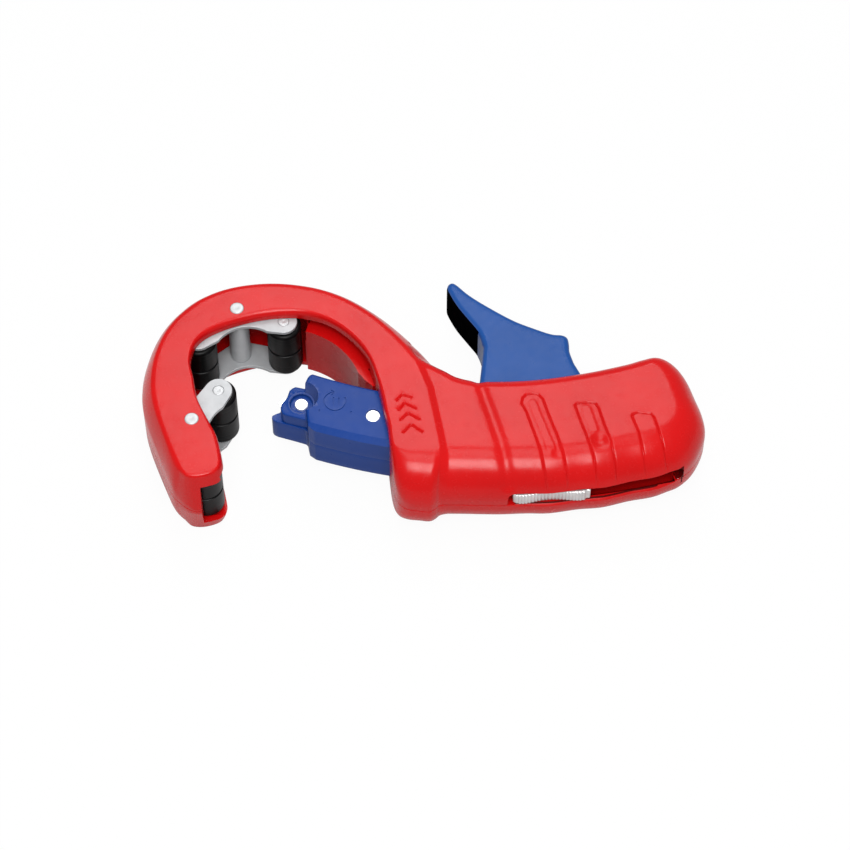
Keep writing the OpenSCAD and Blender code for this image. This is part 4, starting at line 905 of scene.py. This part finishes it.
# fronts of the two halves, the step and the blade's pocket, as shares of the carriage's half width
upperFront = [(0.985, 0.688), (0.93, 0.68), (0.885, 0.655), (0.84, 0.6), (0.79, 0.51), (0.735, 0.36), (0.716, 0.2),
              (0.716, 0.05), (0.735, -0.3), (0.79, -0.78), (0.83, -1.12), (0.865, -1.3)]
lowerFront = [(0.985, 0.688), (0.93, 0.68), (0.885, 0.655), (0.83, 0.575), (0.757, 0.497), (0.6, 0.485),
              (0.42, 0.475), (0.26, 0.4), (0.073, 0.27), (-0.04, 0.06), (-0.11, -0.2), (-0.27, -0.27),
              (-0.37, -0.33), (-0.38, -0.42), (-0.34, -0.49), (-0.22, -0.565), (0.2, -0.695), (0.62, -0.83),
              (0.74, -0.875), (0.8, -0.95), (0.83, -1.12), (0.865, -1.3)]
stepShares = [(0.4, 0.47), (0.3, 0.42), (0.2, 0.32), (0.13, 0.06), (-0.06, -0.22), (-0.07, -0.4), (-0.04, -0.54),
              (0.06, -0.62), (0.3, -0.69), (0.7, -0.81), (0.88, -0.85), (0.98, -0.83), (1.06, -0.75), (1.1, -0.6),
              (1.1, 0.1), (1.06, 0.26), (0.98, 0.35), (0.86, 0.39), (0.7, 0.4)]
pocketShares = [(1.31, 0.335), (1.31, -0.445), (0.37, -0.485), (0.09, -0.345), (0.05, 0.1), (0.3, 0.335)]
pointShares = [(0.16, 0.3), (0, 0.402), (-0.2, 0.16), (-0.107, -0.06), (0.12, -0.265)]
# round arrow and two strokes pressed into the upper half, as points in the tool's plane
turnMark = [np.array([18.8, -4.4]) + polar(3.9, np.linspace(100, 385, 40)),
            np.array([(17.3, 0.4), (18.5, -0.5)]), np.array([(18.4, -0.7), (17.7, -1.9)]),
            np.array([(18.3, -2.7), (18.3, -6.2)]), np.array([(20.2, -2.9), (20.2, -6.0)]),
            np.array([(13.3, -8.9), (13.3, -7.9)]), np.array([(24.6, -9.7), (24.7, -8.6)])]


def rod(at, along, r, length, n=32):
    # round bar from a point along a level direction
    along = along / np.linalg.norm(along)
    side = np.cross(along, (0, 0, 1.0))
    side /= np.linalg.norm(side)
    a = (np.arange(n) * 2 * np.pi / n)[:, None]
    ring = r * (np.cos(a) * side + np.sin(a) * np.cross(along, side))
    return tube("rod", [ring + at, ring + at + along * length])


def stroke(line, width, low, high):
    # a narrow upright slab along an open line
    way = np.gradient(line, axis=0)
    way /= np.hypot(*way.T)[:, None]
    side = np.stack([-way[:, 1], way[:, 0]], -1) * width
    return upright(np.vstack([line + side, (line - side)[::-1]]), (low, high))


def carriageOutline(front, step=2.0):
    # plan of a half: front line, near side, tail end, tail's far side and the nose's far side, corners cut off
    k, front = carriageLook, np.array(front) * carriageLook["half"]
    h, tail, noseBack, tailTop = k["half"], k["tail"], k["noseBack"], k["tailTop"]
    (tailAlong, tailIn), cut, (noseAlong, noseIn) = k["corners"]
    near = onFeed(np.append(np.arange(step, tail - 1, step), tail - tailAlong), h)
    near = near[near[:, 0] > front[-1, 0] + k["frontGap"]]
    end = onFeed([tail, tail], [h - tailIn, tailTop + cut])
    back = onFeed(np.arange(tail - cut, noseBack, -step), tailTop)
    corner = onFeed([noseBack, noseBack], [tailTop - cut, noseIn - h])
    far = onFeed(np.arange(noseBack - noseAlong, k["noseFront"], -step), -h)
    return evenly(np.vstack([front, near, end, back, corner, far]), k["spacing"])


def carriageCuts(side):
    # blade pocket, rack groove and the bores that both halves share
    k = carriageLook
    screwReach = 7.0 if side > 0 else 12.0    # the bowl already opens the upper half
    return [upright(k["half"] * np.array(pocketShares), (-1.0, 0.6), side),
            upright(k["half"] * np.array(pointShares), (-1.1, 0.21), side), *bars([k["rackGroove"]], side),
            upright(discShape(carriagePin, k["pinRadius"] + k["play"], 64), (-1.3, 12), side),
            upright(discShape(bladeScrew, k["screwRadius"] + k["play"], 64), (-1.4, screwReach), side)]


def screwHoles():
    # starts and directions of the slider's two screws, square to the feed arc
    k = sliderLook
    middle, height = k["start"] + k["length"] / 2, (k["low"] + k["high"]) / 2
    holes = []
    for s in (middle - k["screwsApart"] / 2, middle + k["screwsApart"] / 2):
        at = onFeed(s, 0.2)
        holes.append((np.append(at, height), np.append(onFeed(s, 10.0) - at, 0)))
    return holes


def buildUpperHalf():
    # Upper half: a rounded slab with a straight bevel along the near side and a bowl cut down to the step, where
    # a lower slab and a boss stand round the blade's screw.
    k = carriageLook
    h, top, step, boss, (bore, deep) = k["half"], k["top"], k["step"], k["boss"], k["bore"]
    axis, over, past, seam, clear, edge = map(k.get, ("axis", "over", "past", "seam", "clear", "boreEdge"))

    def turned(name, profile):
        return lathe(name, [(axis, profile[0][1]), *profile, (axis, profile[-1][1])], bladeScrew, 96)

    rims = k["seamEdge"], k["rim"]
    upper = roundedSlab("carriageUpper", carriageOutline(upperFront), 0.0, top, rims, k["net"])
    across, down = k["nearBevel"]
    bevel = sweptBar("bevelTool", -14, k["tail"] + 2, [(h - across, top + over), (h + past, top + over),
                                                       (h + past, top - down * (1 + past / across))])
    low, high = k["bowl"]
    bowl = turned("bowlTool", [(low, step - seam), (high, top + 0.05), (high + past, top + clear)])
    shaped(upper, less(bevel, bowl))
    stepSlab = roundedSlab("stepSlab", evenly(h * np.array(stepShares), k["spacing"]), over, step, k["stepRims"],
                           k["stepNet"])
    chamfer, inside = k["bossEdge"]
    bossSlab = turned("bossSlab", [(boss, 2 * over), (boss, step - inside), (boss - chamfer, step - chamfer),
                                   (boss - inside, step + axis)])
    hole = turned("boreTool", [(bore - edge, step - deep), (bore, step - deep + edge), (bore, step - edge),
                               (bore + 0.35, step + 0.05), (bore + 0.35, step + 0.7)])
    a, b, seat = sliderLook["stem"]
    steps = plus(stepSlab, bossSlab) + less(
        hole, *carriageCuts(1),
        upright(feedShape(a - seam, b + seam, seat - seam, h + 1), (-1.5, sliderLook["high"] + 2 * over)),
        *(rod(*start, *size) for start in screwHoles() for size in k["sliderBores"]),
        *(stroke(line, k["markLine"], top - k["markDepth"], top + 1) for line in turnMark))
    dress(shaped(upper, steps), "carriageBlue", "carriage", "carriage_upper", 34)


def buildCarriage():
    # both halves, the lower one the same slab turned over, with the nose; the blade, the rack, a screw and a pin
    k = carriageLook
    buildUpperHalf()
    rims = k["rim"], k["seamEdge"]
    lower = roundedSlab("carriageLower", carriageOutline(lowerFront), -k["top"], 0.0, rims, k["net"])
    dress(shaped(lower, less(*carriageCuts(-1))), "carriageBlue", "carriage", "carriage_lower", 34)
    softened("cutting_blade", "blade", "bladeSteel", "carriage", 0.06, 1)
    softened("feed_rack", "rack", "darkSteel", "carriage", 0.08, 1)
    for node, name, at, r, (low, high) in (
            ("blade_screw", "bladeScrew", bladeScrew, k["screwRadius"], k["screwEnds"]),
            ("carriage_pin", "carriagePin", carriagePin, k["pinRadius"], k["pinEnds"])):
        profile = pinProfile(r, (high - low) / 2, pinLook["chamfer"], k["dimple"]) + (0, (high + low) / 2)
        dress(lathe(name, profile, at, 64), "pinSteel", "carriage", node, 30)


buildCarriage()
print("carriage made")


def buildSlider():
    # A section square to the arc with rounded outer corners, carried along it. Its outer side dips as the square
    # of a sine, falls off at both ends, and is ribbed by a row of round ridges.
    k = sliderLook
    low, high, e = k["low"], k["high"], k["edge"]
    u = np.linspace(0, 1, k["ribs"] * 14 + 1)
    outer = k["outer"] - k["dip"] * np.sin(np.pi * u) ** 2 * (1 - k["lean"] * u) - k["endFall"] * (2 * u - 1) ** 8
    (dip, dipAt), (rise, riseAt), (first, last), fade = k["backDip"], k["backRise"], k["ribsBetween"], k["fade"]
    outer = outer - dip * bell(u - dipAt, fade) + rise * bell(u - riseAt, fade)
    rib = k["ribHeight"] * (1 - np.abs(np.cos(np.pi * k["ribs"] * u))) ** 0.8
    rib = rib * np.clip((last - u) / fade, 0, 1) * np.clip((u - first) / fade, 0, 1)
    corner = np.linspace(0, np.pi / 2, 6)
    # the section, as (share of the way out, height, drop of the rounded corner)
    ring = [(0.0, low, 0.0), (0.0, high, 0.0)]
    ring += [(1.0, high - e + e * np.cos(t), -e * (1 - np.sin(t))) for t in corner]
    ring += [(1.0, z, 0.0) for z in np.linspace(high - e, low + e, 9)[1:-1]]
    ring += [(1.0, low + e - e * np.sin(t), -e * (1 - np.cos(t))) for t in corner]
    share, height, drop = np.array(ring).T
    crown = k["crown"] * (np.cos((height - (low + high) / 2) / (high - low) * np.pi) ** 0.5 - 1) * share
    off = k["inner"] + (outer[:, None] - k["inner"] - rib[:, None]) * share + drop + crown
    xy = onFeed((k["start"] + k["length"] * u)[:, None], off)
    slider = tube("thumbSlider", np.concatenate([xy, np.broadcast_to(height, off.shape)[..., None]], -1))
    s0, s1, seat = k["stem"]
    stem = upright(feedShape(s0, s1, seat, k["inner"] + 1), (low + 0.03, high - 0.03))
    shaped(slider, plus(stem) + less(*(rod(*hole, *k["screwBore"]) for hole in screwHoles())))
    dress(slider, "sliderSteel", "carriage", "thumb_slider", 32)


buildSlider()
print("slider made")


leverLook = {"length": 61.0, "height": 49.6, "half": 9.0, "round": 1.9, "hub": 4.6, "fork": 3.0,
             "pawlAt": (-12.0, 2.0), "pinBore": 2.55, "pawlBore": 1.52,
             "root": [(-49.593, 1.8), (-30.5, -3.6), (-11.04, -5.0)], "heel": (-8.05, 3.312),
             "padWidth": 16.4, "padDepth": 1.6, "padBack": (-3.0, -1.2), "padRibs": 7, "padRib": 0.05,
             "padRim": -0.45, "padDome": 0.7, "play": 0.02, "spacing": 0.7, "net": 2.5}
# the fin, as shares of the lever's length and height, and the fork's room, as shares of its length
finShares = np.array([
    (0.205, 0.183), (0.249, 0.292), (0.272, 0.39), (0.275, 0.46), (0.284, 0.512), (0.315, 0.536), (0.377, 0.545),
    (0.469, 0.589), (0.602, 0.665), (0.759, 0.791), (0.866, 0.891), (0.935, 0.975), (0.965, 0.998), (0.99, 0.985),
    (1, 0.95), (0.995, 0.915), (0.946, 0.79), (0.88, 0.67), (0.815, 0.55), (0.785, 0.43), (0.795, 0.292),
    (0.81, 0.115)])
forkShares = np.array([(-0.51, -0.2), (-0.51, -0.02), (-0.34, 0.056), (-0.26, 0.108), (-0.13, 0.108), (0, 0.082),
                       (0.1, 0.082), (0.1, -0.2)])
padStations = slice(13, 20)    # stations of the fin along its hollow side
padLean = np.array([1.0, 0.4])    # direction into the fin there


def buildLever():
    # Lever: a rounded slab over the fin's smooth line, the root and an arc round the hub, less the bores, the
    # fork's room and the pad's recess. The result is the line of its hollow side.
    k = leverLook
    fin = np.vstack([finShares[:1], openCurve(finShares[1:-2], 8), finShares[-2:]])
    size = np.array([-k["length"], k["height"]])
    hub = polar(k["hub"], np.linspace(-92, 100, 24))
    outline = np.vstack([fin * size, k["root"], hub, [k["heel"]]]) + leverPin
    lever = roundedSlab("squeezeLever", evenly(outline, k["spacing"]), -k["half"], k["half"],
                        (k["round"],) * 2, k["net"])
    hollow = openCurve(finShares[padStations], 6)[6:-6] * size + leverPin
    recess = np.vstack([hollow + k["padBack"], (hollow + k["padDepth"] * padLean)[::-1]])
    padHalf = k["padWidth"] / 2 + k["play"]
    shaped(lever, less(upright(discShape(leverPin, k["pinBore"]), (-10, 10)),
                       upright(discShape(leverPin + k["pawlAt"], k["pawlBore"]), (-10, 10)),
                       upright(forkShares * k["length"] + leverPin, (-k["fork"], k["fork"])),
                       upright(recess, (-padHalf, padHalf))))
    dress(lever, "leverBlue", "lever", "squeeze_lever", 34)
    return hollow


def buildPad(hollow):
    # Soft strip in the lever's hollow side: along u it follows the hollow, across v it is a flattened dome that
    # falls to the rim at its four sides, with shallow cross ribs.
    k = leverLook
    line = resampled(hollow, 121)
    half = k["padWidth"] / 2 - k["play"]
    u = np.linspace(-1, 1, len(line))[:, None]
    v = np.sin(np.linspace(-np.pi / 2, np.pi / 2, 41))
    dome = (1 - np.abs(v) ** 8) * (1 - np.abs(u) ** 16)
    rib = k["padRib"] * (0.5 - 0.5 * np.cos(u * np.pi * 2 * k["padRibs"])) * dome
    out = k["padRim"] + k["padDome"] * dome - rib
    front = line[:, None, :] - padLean * out[..., None]
    front = np.concatenate([front, np.broadcast_to(v * half, out.shape)[..., None]], -1)
    back = line + padLean * (k["padDepth"] - 0.03)
    pad = tube("leverPad", np.concatenate([raised(back, -half)[:, None], front, raised(back, half)[:, None]], 1))
    dress(pad, "padBlack", "lever", "lever_pad", 40)


def coil(name, at, r, wire, low, high, turns, arms, turnSteps=28, sides=10):
    # Round wire along a helix that ends in two straight arms: each ring is turned square to the path.
    a = np.linspace(0, turns * 2 * np.pi, turns * turnSteps + 1)
    z = np.linspace(low + wire, high - wire, len(a))
    path = np.stack([at[0] + r * np.cos(a), at[1] + r * np.sin(a), z], -1)
    path = np.vstack([path[:1] + np.linspace(1, 0.2, 4)[:, None] * np.array(arms[0]), path,
                      path[-1:] + np.linspace(0.2, 1, 4)[:, None] * np.array(arms[1])])
    way = np.gradient(path, axis=0)
    way /= np.linalg.norm(way, axis=1, keepdims=True)
    side = np.cross(way, (0, 0, 1.0))
    side /= np.linalg.norm(side, axis=1, keepdims=True)
    other = np.cross(way, side)
    b = (np.arange(sides) * 2 * np.pi / sides)[None, :, None]
    return tube(name, path[:, None] + wire * (np.cos(b) * side[:, None] + np.sin(b) * other[:, None]))


hollowLine = buildLever()
buildPad(hollowLine)
pawlPin = leverPin + leverLook["pawlAt"]
# each spring: its piece, its place, radius, wire, lowest and highest height, turns and arms
for node, name, at, *size in (
        ("lever_spring", "leverSpring", leverPin, 3.4, 0.5, -2.8, 2.8, 5, ((0.0, -0.4, 0), (-7.0, 3.2, 0))),
        ("pawl_spring", "pawlSpring", pawlPin, 2.05, 0.3, 1.5, 2.8, 2, ((0.3, 0, 0), (2.4, 1.0, 0)))):
    dress(coil(name, at, *size), "pinSteel", "lever", node, 40)
softened("feed_pawl", "feedPawl", "darkSteel", "pawl", 0.2, 2)
print("lever made")

# pieces kept from the CAD model, with finishes
keptFinishes = {"lever_pin": "pinSteel", "pawl_pin": "pinSteel", "brake_leaf": "plateSteel",
                "shell_screws": "pinSteel", "slider_screws": "pinSteel"}
for node, finish in keptFinishes.items():
    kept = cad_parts[node]
    if not kept.material_slots:
        kept.data.materials.append(finishes[finish])
    for slot in kept.material_slots:
        slot.material = finishes[finish]

# Floor, light and camera, in metres but for the floor. Each panel: its place, width, depth and power.
studio = {"floor": -18.31, "floorReach": 3000, "cameraAt": (0.051, -0.5984, 0.9456), "aim": (0.051, -0.0075, 0.0),
          "lens": 131.294, "sensor": 36.0, "worldFill": 0.52, "paperGlow": 0.95, "panelAim": (0.05, 0.0, 0.0),
          "panels": {"skyPanel": ((0.05, 0.62, 0.95), 0.5, 0.4, 3.6),
                     "overPanel": ((0.05, 0.10, 1.35), 0.5, 0.5, 3.9),
                     "nearPanel": ((0.05, -0.62, 1.3), 0.6, 0.6, 18.0)}}
white = (1, 1, 1, 1)


def mixOnRays(add, join, shown, kept):
    # one shader where the camera sees the thing, also through glass, and another for all other rays: the factor
    # is the greater of the two rays' flags
    path, most, mix = add("LightPath"), add("Math", operation="MAXIMUM"), add("MixShader")
    for k, ray in enumerate(("Is Camera Ray", "Is Transmission Ray")):
        join(path, ray, most, k)
    for k, node in enumerate((most, kept, shown)):
        join(node, 0, mix, k)
    return mix


def buildFloor():
    # a wide sheet: matt white paper with a fine tooth, part of whose white is its own where the camera sees it
    r, z = studio["floorReach"], studio["floor"]
    floor = rawObject("floorSheet", [(-r, -r, z), (r, -r, z), (r, r, z), (-r, r, z)], [(0, 1, 2, 3)])
    mat = bpy.data.materials.new("floorPaper")
    add, join = nodeKit(mat)
    paper = add("BsdfPrincipled", Base_Color=(0.6, 0.6, 0.6, 1), Roughness=0.9, Specular_IOR_Level=0.1)
    tooth, bump = add("TexNoise", Scale=700.0, Detail=3.0), add("Bump", Strength=0.1, Distance=0.0001)
    join(add("TexCoord"), "Object", tooth, "Vector")
    join(tooth, "Fac", bump, "Height")
    join(bump, "Normal", paper, "Normal")
    glow, half = add("Emission", Strength=1.0, Color=white), add("MixShader")
    half.inputs[0].default_value = studio["paperGlow"]
    join(paper, 0, half, 1)
    join(glow, 0, half, 2)
    join(mixOnRays(add, join, half, paper), 0, add("OutputMaterial"), "Surface")
    floor.data.materials.append(mat)


def buildWorld():
    world = bpy.data.worlds.new("studioAir")
    add, join = nodeKit(world)
    seen = add("Background", Color=white, Strength=1.0)
    fill = add("Background", Color=white, Strength=studio["worldFill"])
    join(mixOnRays(add, join, seen, fill), 0, add("OutputWorld"), "Surface")
    bpy.context.scene.world = world


def placed(name, data, at, aim):
    # a new lamp or camera at a place, looking at the aim
    obj = bpy.data.objects.new(name, data)
    bpy.context.scene.collection.objects.link(obj)
    obj.location = at
    obj.rotation_euler = (Vector(aim) - Vector(at)).to_track_quat("-Z", "Y").to_euler()
    return obj


def buildLight():
    for name, (at, width, depth, power) in studio["panels"].items():
        light = bpy.data.lights.new(name, "AREA")
        light.shape, light.size, light.size_y, light.energy = "RECTANGLE", width, depth, power
        placed(name, light, at, studio["panelAim"])


def buildCamera():
    data = bpy.data.cameras.new("photoCamera")
    data.lens, data.sensor_width, data.clip_start, data.clip_end = studio["lens"], studio["sensor"], 0.05, 20.0
    bpy.context.scene.camera = placed("photoCamera", data, studio["cameraAt"], studio["aim"])


buildFloor()
buildWorld()
buildLight()
buildCamera()
bpy.context.scene.view_settings.view_transform = "Standard"
print("floor, light and camera made")
